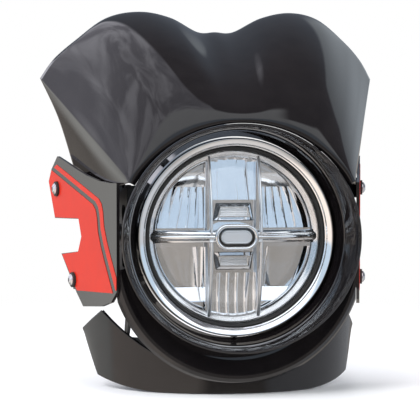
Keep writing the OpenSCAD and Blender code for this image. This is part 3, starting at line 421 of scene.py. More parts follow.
def cowlSection(s, v):
    # one row of the shell, from the left skirt over the arch to the right skirt
    keys = [cowlLine(s, k, v) for k in range(10)]
    flip = [(-p[0], p[1], p[2]) for p in keys]
    arch = keys[2:] + flip[-2:1:-1]
    n = (len(arch) - 1) * s["steps"]
    skirt = [through(keys[:3], i / s["skirtSteps"]) for i in range(s["skirtSteps"])]
    far = [(-p[0], p[1], p[2]) for p in reversed(skirt)]
    return skirt + [through(arch, i / n) for i in range(n + 1)] + far


def turnedIn(p):
    # the front edge is turned in to the collar's lip
    w, h = collarSettings["lipHalfW"], collarSettings["lipHalfH"]
    a = math.atan2(p[2] * w, p[0] * h)
    return ((w + seat) * math.cos(a), p[1] + cowlSettings["turnIn"], (h + seat) * math.sin(a))


def gridNormals(grid):
    # normal of a sheet at each of its points
    rows, cols = len(grid), len(grid[0])
    found = []
    for i in range(rows):
        line = []
        for j in range(cols):
            a = Vector(grid[min(i + 1, rows - 1)][j]) - Vector(grid[max(i - 1, 0)][j])
            b = Vector(grid[i][min(j + 1, cols - 1)]) - Vector(grid[i][max(j - 1, 0)])
            line.append(a.cross(b).normalized())
        found.append(line)
    return found


# rounded edge of a shell: shares of the wall at which it is drawn, and how far it swells
shellEdge = {"shares": (0.15, 0.5, 0.85), "swell": 0.8}


def shellPiece(name, grid, wall, materials, inside=None):
    # a sheet with a wall: outer skin, inner skin and a rounded edge; inside adds what stands on its back
    rows, cols = len(grid), len(grid[0])
    normals = gridNormals(grid)
    points = [p for line in grid for p in line]
    points += [tuple(Vector(grid[i][j]) + wall * normals[i][j]) for i in range(rows) for j in range(cols)]
    half = rows * cols
    faces, slots = [], []
    for i in range(rows - 1):
        for j in range(cols - 1):
            a, b, c, d = i * cols + j, i * cols + j + 1, (i + 1) * cols + j + 1, (i + 1) * cols + j
            faces.append((a, b, c, d))
            faces.append((half + d, half + c, half + b, half + a))
            slots += [0, 1]
    loop = [(0, j) for j in range(cols)] + [(i, cols - 1) for i in range(1, rows)]
    loop += [(rows - 1, j) for j in range(cols - 2, -1, -1)] + [(i, 0) for i in range(rows - 2, 0, -1)]
    ring = []
    for i, j in loop:
        outer, inner = i * cols + j, half + i * cols + j
        ni = 1 if i == 0 else rows - 2 if i == rows - 1 else i
        nj = 1 if j == 0 else cols - 2 if j == cols - 1 else j
        away = (Vector(grid[i][j]) - Vector(grid[ni][nj])).normalized()
        chain = [outer]
        for f in shellEdge["shares"]:
            swell = math.sqrt(0.25 - (f - 0.5) ** 2) * wall * shellEdge["swell"]
            points.append(tuple(Vector(grid[i][j]) + wall * f * normals[i][j] + away * swell))
            chain.append(len(points) - 1)
        ring.append(chain + [inner])
    for k in range(len(ring)):
        a, b = ring[k], ring[(k + 1) % len(ring)]
        for m in range(len(a) - 1):
            faces.append((a[m + 1], b[m + 1], b[m], a[m]))
            slots.append(0)
    start = len(faces)
    if inside:
        inside(points, faces)
        slots += [1] * (len(faces) - start)
    piece = addPiece(name, points, faces, None, True, slots, materials)
    for k in range(start, len(faces)):
        piece.data.polygons[k].use_smooth = False
    return piece


def addRibs(points, faces):
    # low fins that run back along lines of the cowl, on its inner side
    s = cowlSettings
    path = [i / s["ribSteps"] for i in range(s["ribSteps"] + 1)]
    for side in (-1, 1):
        for k, first, last in s["ribs"]:
            def onLine(line, v):
                return Vector(cowlLine(s, line, v))

            def ribSection(i):
                v = first + (last - first) * path[i]
                across = (onLine(k + 1, v) - onLine(k - 1, v)).normalized()
                inward = across.cross(onLine(k, v + 0.01) - onLine(k, v - 0.01)).normalized()
                swell = math.sin(math.pi * (s["ribEnd"] + (1 - 2 * s["ribEnd"]) * path[i]))
                height = s["ribH"] * swell ** s["ribEndPower"]
                foot = onLine(k, v) + (s["wall"] - s["ribBury"]) * inward
                tip = foot + (s["ribBury"] + height) * inward
                half = across * s["ribT"] / 2
                return [(side * p.x, p.y, p.z) for p in (foot - half, tip - half, tip + half, foot + half)]

            sweep(points, faces, path, ribSection)


def makeCowl():
    s = cowlSettings
    grid = [cowlSection(s, (i / s["rows"]) ** s["rowPower"]) for i in range(s["rows"] + 1)]
    grid.insert(0, [turnedIn(p) for p in grid[0]])
    shell = shellPiece("cowlShell", grid, -s["wall"], [finishes["gloss_black"], mouldedBack], addRibs)
    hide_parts("upper_cowl")


makeCowl()
print("cowl made")


# collar: funnel round the lamp, oval at its lip and round at its back
def makeCollar():
    s = collarSettings
    lipY, back = s["lipY"], s["back"]
    # roundness, radius when round, growth of the oval, place along the lamp axis
    rings = [(1, s["flangeR"], 0, back), (1, s["flangeR"], 0, back - 3), (1, s["tubeIn"], 0, rimY - 2),
        (0.75, s["tubeIn"], -5, rimY - 14), (0.3, s["tubeIn"], -3.5, lipY + 8), (0, 0, -3, lipY + 2),
        (0, 0, -1.8, lipY), (0, 0, -0.6, lipY + 0.4), (0, 0, 0, lipY + 2.2), (0, 0, -0.6, lipY + 7),
        (0.6, s["tubeR"], -1, lipY + 14), (1, s["tubeR"], 0, lipY + 20), (1, s["tubeR"], 0, back)]
    ovals = []
    for share, radius, grow, y in rings:
        halfW, halfH = ((s[side] + grow) * (1 - share) + radius * share for side in ("lipHalfW", "lipHalfH"))
        ovals.append((halfW, halfH, y))
    # the funnel and the lip are drawn as smooth curves, the tube and the flange straight
    steps, turns = s["curveSteps"], s["turns"]
    fine = ovals[:2] + [through(ovals[2:12], i / steps) for i in range(steps + 1)] + ovals[12:]
    angles = [2 * math.pi * i / turns for i in range(turns)]
    points = [(halfW * math.cos(a), y, halfH * math.sin(a)) for halfW, halfH, y in fine for a in angles]
    n = len(fine)
    faces = [(k * turns + i, ((k + 1) % n) * turns + i, ((k + 1) % n) * turns + (i + 1) % turns,
        k * turns + (i + 1) % turns) for k in range(n) for i in range(turns)]
    piece = addPiece("collarFunnel", points, faces, finishes["gloss_black"])
    splitEdges(piece, 40)
    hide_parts("lamp_collar")


makeCollar()
print("collar made")

# chin: the plate bent round the bottom of the lamp
chinSettings = {
    "halfW": 150, "depth": 171, "wall": 2.6, "low": 150, "mid": 138,
    # angles round the chin, in degrees, and heights under the lamp's axis
    "innerTip": (54.4, 74), "tipAngle": 67, "tipZ": 95, "corner": 57.5, "flatAngle": 28, "cornerRise": 12,
    "topPower": 1.6, "bottomPower": 1.8, "tipGap": 0.6, "steps": (40, 12),
    "flange": 7, "flangeRise": 0.5, "draft": 1.5, "turn": 0.8, "turnDrop": 0.1,
    # rows down the plate, as shares of its height
    "rows": [0, 0.02, 0.06, 0.12, 0.2, 0.3, 0.4, 0.5, 0.6, 0.7, 0.8, 0.88, 0.94, 0.98, 1],
}


def chinTop(s, angle):
    k, z = s["innerTip"]
    if angle <= k:
        return -s["mid"] + (s["mid"] - z) * (angle / k) ** s["topPower"]
    return -z - (s["tipZ"] - z) * (angle - k) / (s["tipAngle"] - k)


def chinBottom(s, angle):
    k, flat, rise = s["corner"], s["flatAngle"], s["cornerRise"]
    if angle <= flat:
        return -s["low"]
    if angle <= k:
        return -s["low"] + rise * ((angle - flat) / (k - flat)) ** s["bottomPower"]
    return rise - s["low"] + (s["low"] - rise - s["tipZ"]) * (angle - k) / (s["tipAngle"] - k)


def makeChin():
    s = chinSettings
    inner, last, (m, n) = s["innerTip"][0], s["tipAngle"] - s["tipGap"], s["steps"]
    half = [inner * i / m for i in range(m)] + [inner + (last - inner) * i / n for i in range(n + 1)]
    angles = [-a for a in reversed(half[1:])] + half
    # each row has its share of the height, its inset and its rise; the last two turn the edge under and in
    rows = [(f, s["draft"] * f ** 2, 0) for f in s["rows"]]
    rows += [(1, s["draft"] + s["turn"], -s["turnDrop"]), (1, s["flange"], s["flangeRise"])]
    grid = []
    for f, inset, rise in rows:
        line = []
        for angle in angles:
            a, high, low = math.radians(angle), chinTop(s, abs(angle)), chinBottom(s, abs(angle))
            line.append(((s["halfW"] - inset) * math.sin(a), -(s["depth"] - inset) * math.cos(a),
                high + (low - high) * f + rise))
        grid.append(line)
    piece = shellPiece("chinShell", grid, -s["wall"], [finishes["gloss_black"], mouldedBack])
    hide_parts("chin_cowl")


makeChin()
print("chin made")

# lamp: two fluted reflector halves behind the clear dome
lampSettings = {
    "mirrorR": 83.5, "mirrorBack": 23.8, "pocketR": 80, "landQ": 20, "chamberIn": 27,
    # heights of foot, knee and top, depths at foot and knee, edges of the flutes as shares of the width
    "upper": {"z": (8, 47, 61), "q": (34, 38), "edges": (0, 0.17, 0.34, 0.51, 0.68, 0.84, 1), "depth": 1.8,
        "cornerQ": 30, "middleLean": 5},
    "lower": {"z": (10, 50, 64), "q": (35, 38), "edges": (0, 0.2, 0.86, 1), "depth": 1.8,
        "cornerQ": 33, "middleLean": 0.5},
    "bend": 0.03, "middleHalfW": 22, "middleLow": 35, "middleBack": 4, "middleFlutes": 5, "middleDepth": 0.85,
    "middleBend": 0.1, "middleWave": 3,
    "windowHalfW": 20.5, "windowLow": 15, "windowHigh": 32, "windowTopHalf": 17, "windowEdge": 0.6, "windowBack": 16,
    "domeQ": 12, "domeRise": 20, "domeR": 81.5, "lensT": 2.8,
}


def addGrid(points, faces, place, across, along):
    # place(u, v) gives a point; u and v run from 0 to 1
    start = len(points)
    for i in range(across + 1):
        for j in range(along + 1):
            points.append(place(i / across, j / along))
    for i in range(across):
        for j in range(along):
            a = start + i * (along + 1) + j
            faces.append((a, a + 1, a + along + 2, a + along + 1))


def circleX(r, z):
    return math.sqrt(max(r * r - z * z, 0))


def chamberDepth(s, shape, x, z):
    # depth of a side chamber behind the rim's front, at x from the middle and z from the bar
    (foot, knee, top), (footQ, kneeQ), edges = shape["z"], shape["q"], shape["edges"]
    if z > knee:
        return between(kneeQ, shape["cornerQ"], (z - knee) / (top - knee))
    up = (z - foot) / (knee - foot)
    share = min(max((x - s["chamberIn"]) / (circleX(s["pocketR"], z) - s["chamberIn"]), 0), 1)
    share += s["bend"] * math.sin(math.pi * up) * math.sin(math.pi * share)  # the flutes bend a little
    k = max(i for i in range(len(edges) - 1) if edges[i] <= share)
    width = edges[k + 1] - edges[k]
    f = (share - edges[k]) / width
    return between(footQ, kneeQ, up) + shape["depth"] * min(1, 3 * width) * (1 - (2 * f - 1) ** 2)


def makeReflector(name, node, shape, up):
    s = lampSettings
    points, faces = [], []
    foot, knee, top = shape["z"]
    inX, pocket, mirror, land = s["chamberIn"], s["pocketR"], s["mirrorR"], s["landQ"]
    half, low = s["middleHalfW"], s["middleLow"]
    wide, wLow, wHigh = s["windowHalfW"], s["windowLow"], s["windowHigh"]

    def add(place, across, along):
        # place gives x, depth and height
        def put(u, v):
            x, q, z = place(u, v)
            return (x, rimY + q, up * z)

        addGrid(points, faces, put, across, along)

    def high(v):
        return between(foot, top, v)

    def pocketX(v):
        return circleX(pocket, high(v))

    def footX(v):
        return between(inX, circleX(pocket, foot), v)

    def topX(u):
        return between(inX, circleX(pocket, top), u)

    def topLandX(u):
        return between(inX, circleX(mirror, top), u)

    def besideX(u):
        return between(half, inX, u)

    def deep(x, z, u):
        # from the land at u 0 to the chamber's depth at u 1
        return between(land, chamberDepth(s, shape, x, z), u)

    for side in (-1, 1):
        def chamber(u, v, lowest=foot, highest=knee):
            z = between(lowest, highest, v)
            x = between(inX, circleX(pocket, z), u)
            return (side * x, chamberDepth(s, shape, x, z), z)

        add(chamber, 96, 24)
        add(lambda u, v: chamber(u, v, knee + 1e-4, top), 24, 6)
        # walls of the chamber, from its depth out to the land
        add(lambda u, v: (side * inX, deep(inX, high(v), u), high(v)), 2, 30)
        add(lambda u, v: (side * footX(v), deep(footX(v), foot, u), foot), 2, 96)
        add(lambda u, v: (side * pocketX(v), deep(pocketX(v) - 0.01, high(v), u), high(v)), 2, 30)
        # land: outside the pocket, over the chamber, beside it and under it
        add(lambda u, v: (side * between(pocketX(v), circleX(mirror, high(v)), u), land, high(v)), 1, 30)
        add(lambda u, v: (side * topX(u), shape["cornerQ"], between(top, circleX(pocket, topX(u)), v)), 24, 2)
        add(lambda u, v: (side * inX, between(land, shape["cornerQ"], u), between(top, circleX(pocket, inX), v)), 1, 1)
        add(lambda u, v: (side * topLandX(u), land,
            between(circleX(pocket, topX(u)), circleX(mirror, topLandX(u)), v)), 24, 1)
        add(lambda u, v: (side * besideX(u), land, between(foot, circleX(mirror, besideX(u)), v)), 2, 4)
        add(lambda u, v: (side * between(wide, circleX(mirror, foot * v), u), land, foot * v), 2, 6)
        add(lambda u, v: (side * between(wide, half, u), land, between(foot, low, v)), 1, 2)

    # middle: the fluted chamber, land round it and round the window, and the window's walls
    def across(u):
        return half * (2 * u - 1)

    def middleDepth(x, v):
        f = ((x + half) / (2 * half) * s["middleFlutes"] + s["middleBend"] * math.sin(s["middleWave"] * v)) % 1
        return land + s["middleBack"] + s["middleDepth"] * (1 - (2 * f - 1) ** 2) + shape["middleLean"] * v

    def middleHigh(x, v):
        return between(low, circleX(pocket, x), v)

    add(lambda u, v: (across(u), middleDepth(across(u), v), middleHigh(across(u), v)), 100, 16)
    for edge in (-half, half):
        add(lambda u, v: (edge, between(land, middleDepth(edge, v), u), middleHigh(edge, v)), 2, 16)
    for v in (0, 1):
        add(lambda u, w: (across(w), between(land, middleDepth(across(w), v), u), middleHigh(across(w), v)), 2, 100)
    add(lambda u, v: (across(u), land, between(circleX(pocket, across(u)), circleX(mirror, across(u)), v)), 30, 1)
    add(lambda u, v: (wide * (2 * u - 1), land, wLow * v), 2, 2)
    add(lambda u, v: (wide * (2 * u - 1), land, between(wHigh, low, v)), 2, 1)
    for z in (wLow, wHigh):
        add(lambda u, v: (wide * (2 * u - 1), land + s["windowBack"] * v, z), 2, 1)
    for side in (-1, 1):
        def holeX(u):
            return between(wide - s["windowEdge"], s["windowTopHalf"], u)

        add(lambda u, v: (side * between(holeX(u), wide, v), land, between(wLow, wHigh, u)), 4, 1)
        add(lambda u, v: (side * holeX(u), land + s["windowBack"] * v, between(wLow, wHigh, u)), 4, 1)
    # outer edge of the half disc
    add(lambda u, v: (mirror * math.cos(math.pi * u), land + s["mirrorBack"] * v, mirror * math.sin(math.pi * u)),
        96, 1)
    piece = addPiece(name, points, faces, finishes["mirror_coating"], False)
    for polygon in piece.data.polygons:  # the flat lands stay flat
        polygon.use_smooth = len(set(round(piece.data.vertices[i].co.y, 6) for i in polygon.vertices)) > 1
    weld = piece.modifiers.new("weld", "WELD")
    weld.merge_threshold = 0.00002
    splitEdges(piece, 32)
    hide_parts(node)


makeReflector("upperReflector", "upper_reflector", lampSettings["upper"], 1)
makeReflector("lowerReflector", "lower_reflector", lampSettings["lower"], -1)
print("reflectors made")

# tapered shrouds of the projectors, with a stepped window in front
shroudSettings = {
    "z": 23.5, "topHalf": 16.5, "footHalf": 19.5, "halfH": 8.1, "taper": 3, "frontQ": 14, "bodyQ": 20, "backQ": 40,
    "windowHalfW": 14.5, "windowHalfH": 4,
    # window's frame: depth behind the front, inset
    "window": [(0, 0.01), (1.5, 0.8), (1.6, 1.6), (7, 2.4)],
    "edge": 0.0006,
}


def makeShroud(name, node, up):
    s = shroudSettings

    def outline(q, taper):
        foot, head, h = s["footHalf"] - taper, s["topHalf"] - taper, s["halfH"] - taper
        return [(x, rimY + q, up * (s["z"] + z)) for x, z in ((-foot, -h), (foot, -h), (head, h), (-head, h))]

    def window(back, inset):
        w, h = s["windowHalfW"] - inset, s["windowHalfH"] - inset * 0.5
        return [(x, rimY + s["frontQ"] + back, up * (s["z"] + z)) for x, z in ((-w, -h), (w, -h), (w, h), (-w, h))]

    loops = [outline(s["backQ"], 0), outline(s["bodyQ"], 0), outline(s["frontQ"], s["taper"])]
    loops += [window(back, inset) for back, inset in s["window"]]
    points = [p for line in loops for p in line]
    faces = [(4 * k + i, 4 * k + (i + 1) % 4, 4 * k + 4 + (i + 1) % 4, 4 * k + 4 + i)
        for k in range(len(loops) - 1) for i in range(4)]
    piece = addPiece(name, points, faces, finishes["chrome"], False)
    edges = piece.modifiers.new("softEdges", "BEVEL")
    edges.width, edges.segments, edges.limit_method = s["edge"], 3, "ANGLE"
    edges.harden_normals = True
    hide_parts(node)


makeShroud("upperShroud", "upper_projector", 1)
makeShroud("lowerShroud", "lower_projector", -1)
print("shrouds made")

# chrome frame behind the dome: ring, bar, four ribs and the oval
frameSettings = {
    "turns": 192,
    # ring: radius and depth, from the cone's inner end over the bead and back
    "ring": [(74.8, 28.6), (74.5, 28), (74.7, 24), (75.3, 21), (76.2, 19.3), (77.6, 18.1), (79.4, 17.1),
        (81.2, 16.2), (82, 15.6), (82.7, 15.4), (83.2, 15.8), (83.5, 16.6), (83.5, 20), (75.4, 28.6)],
    "inR": 80, "steps": 32,
    # bar: half of its section as shares of the half height, and depth
    "bar": [(0, 0), (0.16, 0.1), (0.3, 0.45), (0.42, 1.1), (0.52, 1.9), (0.62, 2.5), (0.76, 2.85), (0.92, 3), (1, 3.3),
        (1, 7)],
    "barFrom": 19, "barHalfH": 5.5, "barGap": 1.6, "barDeepest": 16.5,
    "barNarrow": 0.84, "barWiden": 0.22, "barFlare": 0.3, "flareFrom": 0.86,
    "ribX": 24, "ribFrom": 5, "ribHalfW": {1: 1.2, -1: 1.7}, "ribRound": 1.4, "ribT": 6, "ribGap": 1.8,
    "ribDeepest": 16.8, "ribBack": 20,
    "ovalW": 42, "ovalH": 25, "ovalTurns": 96, "ovalGap": 0.7, "beadHalfW": 1.9, "beadIn": 1.7, "beadOut": -0.2,
    "innerWall": 3.6, "innerFront": 8, "innerBack": 16, "outerFront": 2.4,
}


def domeQ(r, gap):
    # depth of the inside of the clear dome at radius r, plus a gap
    s = lampSettings
    ball = (s["domeR"] ** 2 + s["domeRise"] ** 2) / (2 * s["domeRise"]) - s["lensT"]
    return s["domeQ"] - s["domeRise"] + s["lensT"] + gap + ball - math.sqrt(ball * ball - r * r)


def lathe(points, faces, profile, turns):
    # turns a closed profile of radius and depth round the lamp's axis
    start, n = len(points), len(profile)
    for i in range(turns):
        a = 2 * math.pi * i / turns
        points += [(r * math.cos(a), rimY + q, r * math.sin(a)) for r, q in profile]
    faces += [(start + i * n + j, start + i * n + (j + 1) % n, start + ((i + 1) % turns) * n + (j + 1) % n,
        start + ((i + 1) % turns) * n + j) for i in range(turns) for j in range(n)]


def makeChromeFrame():
    s = frameSettings
    points, faces = [], []
    path = [i / s["steps"] for i in range(s["steps"] + 1)]
    lathe(points, faces, s["ring"], s["turns"])
    slots = [0] * len(faces)
    for side in (-1, 1):
        # bar: round in front, wider at the ring
        def barSection(k):
            f = path[k]
            x = between(s["barFrom"], s["inR"], f)
            flare = max(0, (f - s["flareFrom"]) / (1 - s["flareFrom"]))
            h = s["barHalfH"] * (s["barNarrow"] + s["barWiden"] * f + s["barFlare"] * flare ** 2)
            q = rimY + min(domeQ(x, s["barGap"]), s["barDeepest"])
            return [(side * x, q + dq, -h * dz) for dz, dq in reversed(s["bar"][1:])] \
                + [(side * x, q + dq, h * dz) for dz, dq in s["bar"]]

        sweep(points, faces, path, barSection)
        slots += [0] * (len(faces) - len(slots))
        for up in (-1, 1):
            # rib: a thin round bead from the bar to the ring
            def ribSection(k):
                z = between(s["ribFrom"], circleX(s["inR"], s["ribX"]), path[k])
                q = min(domeQ(math.hypot(s["ribX"], z), s["ribGap"]), s["ribDeepest"])
                w, curve = s["ribHalfW"][up], [math.radians(d) for d in range(-90, 91, 18)]
                shape = [(w * math.sin(a), s["ribRound"] * (1 - math.cos(a))) for a in curve]
                shape = [(-w, s["ribT"])] + shape + [(w, s["ribT"])]
                return [(side * s["ribX"] + dx, rimY + min(q + dq, s["ribBack"]), up * z) for dx, dq in shape]

            sweep(points, faces, path, ribSection)
            slots += [1] * (len(faces) - len(slots))
    # oval: a rounded bead with a deep inner wall; each point has its inset and its depth
    front = domeQ(s["ovalW"] / 2, s["ovalGap"])
    curve = [math.radians(d) for d in range(0, 181, 15)]
    section = [(s["beadOut"], s["ribBack"]), (s["beadOut"], front + s["outerFront"])]
    section += [(s["beadIn"] - s["beadHalfW"] * math.cos(a), front + s["beadHalfW"] * (1 - math.sin(a))) for a in curve]
    section += [(s["innerWall"], front + s["innerFront"]), (s["innerWall"], s["innerBack"])]
    start, turns, n = len(points), s["ovalTurns"], len(section)
    for i in range(turns):
        a = 2 * math.pi * i / turns
        cx = (s["ovalW"] - s["ovalH"]) / 2 * (1 if math.cos(a) > 0 else -1) if abs(math.cos(a)) > 1e-6 else 0
        for inset, q in section:
            r = s["ovalH"] / 2 - inset
            points.append((cx + r * math.cos(a), rimY + q, r * math.sin(a)))
    faces += [(start + i * n + j, start + i * n + j + 1, start + ((i + 1) % turns) * n + j + 1,
        start + ((i + 1) % turns) * n + j) for i in range(turns) for j in range(n - 1)]
    slots += [0] * (len(faces) - len(slots))
    piece = addPiece("chromeFrame", points, faces, None, True, slots, [finishes["chrome"], satinChrome])
    splitEdges(piece, 50)
    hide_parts("bezel_frame")


makeChromeFrame()
print("chrome frame made")

# chrome rim: a narrow rolled edge, a dished face and a step down to the seal
rimSettings = {
    "turns": 256,
    "profile": [(95, 19), (95, 1.8), (94.85, 1), (94.5, 0.4), (94, 0.08), (93.5, 0.05), (92.8, 0.3), (91.4, 0.85),
        (90, 1.5), (89.3, 1.95), (88.9, 2.5), (88.7, 3.3), (88.3, 3.9), (87.6, 4.2), (87.1, 4.8), (87, 6),
        (87, 16), (88.5, 16), (88.5, 7), (93.5, 7), (93.5, 19)],
}


def makeRim():
    points, faces = [], []
    lathe(points, faces, rimSettings["profile"], rimSettings["turns"])
    piece = addPiece("chromeRim", points, faces, finishes["chrome"])
    splitEdges(piece, 50)
    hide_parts("lamp_rim")


makeRim()
print("rim made")

# position light in the oval, and the ribbed glass in the shrouds' windows
guideSettings = {
    "baseW": 34.6, "baseH": 17.6, "baseQ": 4, "baseBack": 10, "baseEdge": 0.5,
    "w": 30, "h": 13, "frontQ": -1, "bevel": 1.3, "recess": 0.5,
}
glassSettings = {
    "halfW": 13.4, "halfH": 3.7, "z": 23.5, "frontQ": 16, "backQ": 24, "ribs": 3, "ribDepth": 1.1, "steps": 10,
}


def stadium(w, h, q, turns=96):
    # outline with round ends, at depth q
    line = []
    for i in range(turns):
        a = 2 * math.pi * (i + 0.5) / turns
        shift = (w - h) / 2 * (1 if math.cos(a) > 0 else -1)
        line.append((shift + h / 2 * math.cos(a), rimY + q, h / 2 * math.sin(a)))
    return line


def makeLightGuide():
    s = guideSettings
    w, h, q, b, base = s["w"], s["h"], s["frontQ"], s["bevel"], s["baseQ"]
    baseW, baseH, edge, recess = s["baseW"], s["baseH"], s["baseEdge"], s["recess"]
    loops = [stadium(baseW, baseH, s["baseBack"]), stadium(baseW, baseH, base + edge),
        stadium(baseW - 2 * edge, baseH - 2 * edge, base), stadium(w, h, base), stadium(w, h, q + b),
        stadium(w - 0.4 * b, h - 0.4 * b, q + 0.3 * b), stadium(w - b, h - b, q), stadium(w - 2 * b, h - 2 * b, q),
        stadium(w - 3 * b, h - 3 * b, q + recess), stadium(w - 6 * b, h - 6 * b, q + recess - 0.1)]
    n = len(loops[0])
    points = [p for line in loops for p in line]
    faces = [(k * n + i, k * n + (i + 1) % n, (k + 1) * n + (i + 1) % n, (k + 1) * n + i)
        for k in range(len(loops) - 1) for i in range(n)]
    faces.append(tuple(range((len(loops) - 1) * n, len(loops) * n)))
    slots = [0 if i < 3 * n else 1 for i in range(len(faces))]  # the first three bands are the black base
    materials = [finishes["black_housing"], finishes["frosted_lens"]]
    piece = addPiece("lightGuide", points, faces, None, True, slots, materials)
    splitEdges(piece, 35)
    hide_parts("position_light")


def makeWindowGlass():
    s = glassSettings
    points, faces = [], []
    steps = s["steps"] * s["ribs"]
    profile = []
    for i in range(steps + 1):
        f = i / steps * s["ribs"] % 1
        depth = s["ribDepth"] * (1 - math.sqrt(max(0, 1 - (2 * f - 1) ** 2)))
        profile.append((s["frontQ"] + depth, s["halfH"] * (2 * i / steps - 1)))
    profile += [(s["backQ"], s["halfH"]), (s["backQ"], -s["halfH"])]
    for up in (-1, 1):
        def section(k):
            return [((2 * k - 1) * s["halfW"], rimY + q, up * (s["z"] + z)) for q, z in profile]

        sweep(points, faces, [0, 1], section)
    piece = addPiece("windowGlass", points, faces, ribbedGlass)
    splitEdges(piece, 50)
    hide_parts("projector_lenses")


makeLightGuide()
makeWindowGlass()
print("light guide and window glass made")

# studio: pale floor, white behind for the camera, and a painted surround for the reflections
studioSettings = {
    "floorZ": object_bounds()[0].z - 0.0005, "floorR": 6, "floorSteps": 96,
    "floorColour": (0.93, 0.93, 0.93), "floorRoughness": 0.85,
    "fadeFrom": 0.3, "fadeTo": 0.95,
    "roofGrey": (0.16, 0.155, 0.175), "backGrey": (0.2, 0.23, 0.28),
    "cloudLight": (1.5, 1.5, 1.65), "cloudShade": (0.7, 0.7, 0.8),
    # clouds over the left half; the edge of that half is slanted
    "cloudScale": 2.6, "cloudDetail": 5, "cloudDistortion": 1.4, "cloudBand": (0.38, 0.62),
    "slant": 0.3, "slantBand": (0.015, -0.04),
    "sideGrey": (0.5, 0.55, 0.6), "leftBack": (1.25, 1.25, 1.2),
    "frontSky": (0.6, 0.73, 0.87), "highSky": (1.5, 1.55, 1.6),
    "frontGround": (0.34, 0.31, 0.28), "nearGround": (0.7, 0.67, 0.65),
    "leftGround": (1.15, 1.02, 0.92), "rightGround": (0.6, 0.62, 0.66), "behind": (1.0, 1.0, 1.0),
    # parts of the surround by direction: axis, where its edge starts and where it is full
    "backPart": [("Y", 0.3, 0.8)],
    "rightPart": [("X", 0.3, 0.42), ("Y", 0.43, 0.49), ("Z", 0.55, 0.48)],
    "frontPart": [("Y", -0.28, -0.42), ("Z", 0.95, 0.88), ("X", 0.45, 0.32)],
    "highPart": [("Z", 0.2, 0.5)],
    "frontRightPart": [("Y", -0.3, -0.45), ("Z", 0.62, 0.55), ("X", 0.3, 0.42)],
    "lowFrontPart": [("Y", -0.1, -0.35), ("Z", 0.4, 0.28)],
    "groundPart": [("Z", 0.03, -0.03)],
    "nearPart": [("Z", -0.4, -0.75)],
    "leftGroundPart": [("X", -0.2, -0.45), ("Y", 0.4, 0.1)],
    "rightGroundPart": [("X", 0.5, 0.7)],
    "leftBackPart": [("X", -0.45, -0.6), ("Y", 0.1, 0.25), ("Z", 0.2, 0.08), ("Z", -0.45, -0.3)],
    "lamps": [
        # name, place, aimed at, width, height, watts
        ("keyBox", (-1.3, -1.5, 1.7), (0, -0.1, 0.0), 1.0, 0.8, 26),
        ("fillBox", (1.6, -1.3, 0.7), (0, -0.1, 0.0), 1.2, 1.2, 14),
        ("topBox", (0.1, -0.1, 2.2), (0, -0.1, 0.0), 1.6, 1.0, 22),
        ("sideBox", (-2.2, 0.5, 1.3), (-0.1, 0, 0.1), 1.1, 0.9, 22),
    ],
}


def smoothBand(tree, value, zero, one):
    # 0 at the first value and 1 at the second
    factor = mixValue(tree, value, 0.0, 1.0) if one > zero else mixValue(tree, value, 1.0, 0.0)
    factor.node.inputs["From Min"].default_value = min(zero, one)
    factor.node.inputs["From Max"].default_value = max(zero, one)
    factor.node.interpolation_type = "SMOOTHSTEP"
    return factor


def makeFloor():
    s = studioSettings
    floorMaterial, tree, shader = newMaterial("paleFloor")
    shader.inputs["Base Color"].default_value = (*s["floorColour"], 1)
    shader.inputs["Roughness"].default_value = s["floorRoughness"]
    steps, r = s["floorSteps"], s["floorR"]
    points = [(0, 0, 0)] + [(r * math.cos(2 * math.pi * i / steps), r * math.sin(2 * math.pi * i / steps), 0)
        for i in range(steps)]
    mesh = bpy.data.meshes.new("studioFloor")
    mesh.from_pydata(points, [], [(0, i + 1, (i + 1) % steps + 1) for i in range(steps)])
    mesh.materials.append(floorMaterial)
    floor = bpy.data.objects.new("studioFloor", mesh)
    floor.location.z = s["floorZ"]
    collection.objects.link(floor)
    floor.visible_glossy = floor.visible_transmission = False
    # the floor fades into the white all round
    where = tree.nodes.new("ShaderNodeTexCoord")
    length = tree.nodes.new("ShaderNodeVectorMath")
    length.operation = "LENGTH"
    tree.links.new(where.outputs["Object"], length.inputs[0])
    tree.links.new(smoothBand(tree, length.outputs["Value"], s["fadeTo"], s["fadeFrom"]), shader.inputs["Alpha"])


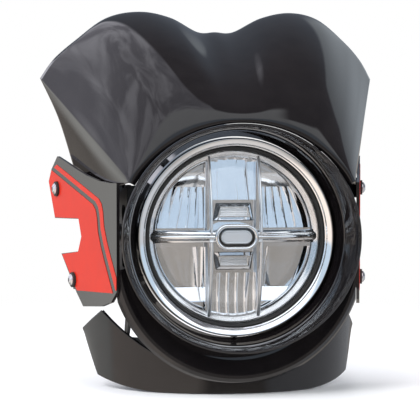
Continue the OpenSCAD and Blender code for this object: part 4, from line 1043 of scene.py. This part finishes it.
def makeSurround():
    s = studioSettings
    world = bpy.data.worlds.new("studioWorld")
    bpy.context.scene.world = world
    world.use_nodes = True
    tree = world.node_tree
    where = tree.nodes.new("ShaderNodeTexCoord")
    axes = tree.nodes.new("ShaderNodeSeparateXYZ")
    tree.links.new(where.outputs["Generated"], axes.inputs[0])

    def calculate(operation, *values):
        node = tree.nodes.new("ShaderNodeMath")
        node.operation = operation
        for socket, value in zip(node.inputs, values):
            if isinstance(value, (int, float)):
                socket.default_value = value
            else:
                tree.links.new(value, socket)
        return node.outputs[0]

    def mixColour(factor, first, second):
        node = tree.nodes.new("ShaderNodeMix")
        node.data_type = "RGBA"
        tree.links.new(factor, node.inputs["Factor"])
        for socket, value in (("A", first), ("B", second)):
            if isinstance(value, tuple):
                node.inputs[socket].default_value = (*value, 1)
            else:
                tree.links.new(value, node.inputs[socket])
        return node.outputs["Result"]

    def paint(colour, part, value):
        # value laid over the colour in one part of the surround
        mask = None
        for axis, zero, one in s[part]:
            band = smoothBand(tree, axes.outputs[axis], zero, one)
            mask = calculate("MULTIPLY", mask, band) if mask else band
        return mixColour(mask, colour, value)

    clouds = newNoise(tree, Scale=s["cloudScale"], Detail=s["cloudDetail"], Distortion=s["cloudDistortion"])
    tree.links.new(where.outputs["Generated"], clouds.inputs["Vector"])
    cloudColour = mixColour(smoothBand(tree, clouds.outputs["Fac"], *s["cloudBand"]), s["cloudShade"], s["cloudLight"])
    slant = calculate("MULTIPLY_ADD", axes.outputs["Y"], s["slant"], axes.outputs["X"])
    colour = paint(s["roofGrey"], "backPart", s["backGrey"])
    colour = mixColour(smoothBand(tree, slant, *s["slantBand"]), colour, cloudColour)
    colour = paint(colour, "rightPart", s["sideGrey"])
    colour = paint(colour, "frontPart", paint(s["frontSky"], "highPart", s["highSky"]))
    colour = paint(colour, "frontRightPart", s["highSky"])
    colour = paint(colour, "lowFrontPart", s["frontSky"])
    ground = paint(s["frontGround"], "nearPart", s["nearGround"])
    ground = paint(ground, "leftGroundPart", s["leftGround"])
    ground = paint(ground, "rightGroundPart", s["rightGround"])
    colour = paint(colour, "groundPart", ground)
    colour = paint(colour, "leftBackPart", s["leftBack"])
    path = tree.nodes.new("ShaderNodeLightPath")
    colour = mixColour(path.outputs["Is Camera Ray"], colour, s["behind"])
    tree.links.new(colour, tree.nodes["Background"].inputs["Color"])


def makeLamps():
    for name, place, aim, width, height, watts in studioSettings["lamps"]:
        data = bpy.data.lights.new(name, "AREA")
        data.shape = "RECTANGLE"
        data.size, data.size_y = width, height
        data.energy = watts
        lamp = bpy.data.objects.new(name, data)
        collection.objects.link(lamp)
        lamp.location = place
        lamp.rotation_mode = "QUATERNION"
        lamp.rotation_quaternion = (Vector(aim) - Vector(place)).to_track_quat("-Z", "Y")
        lamp.visible_glossy = lamp.visible_transmission = False


makeFloor()
makeSurround()
makeLamps()
print("studio made")
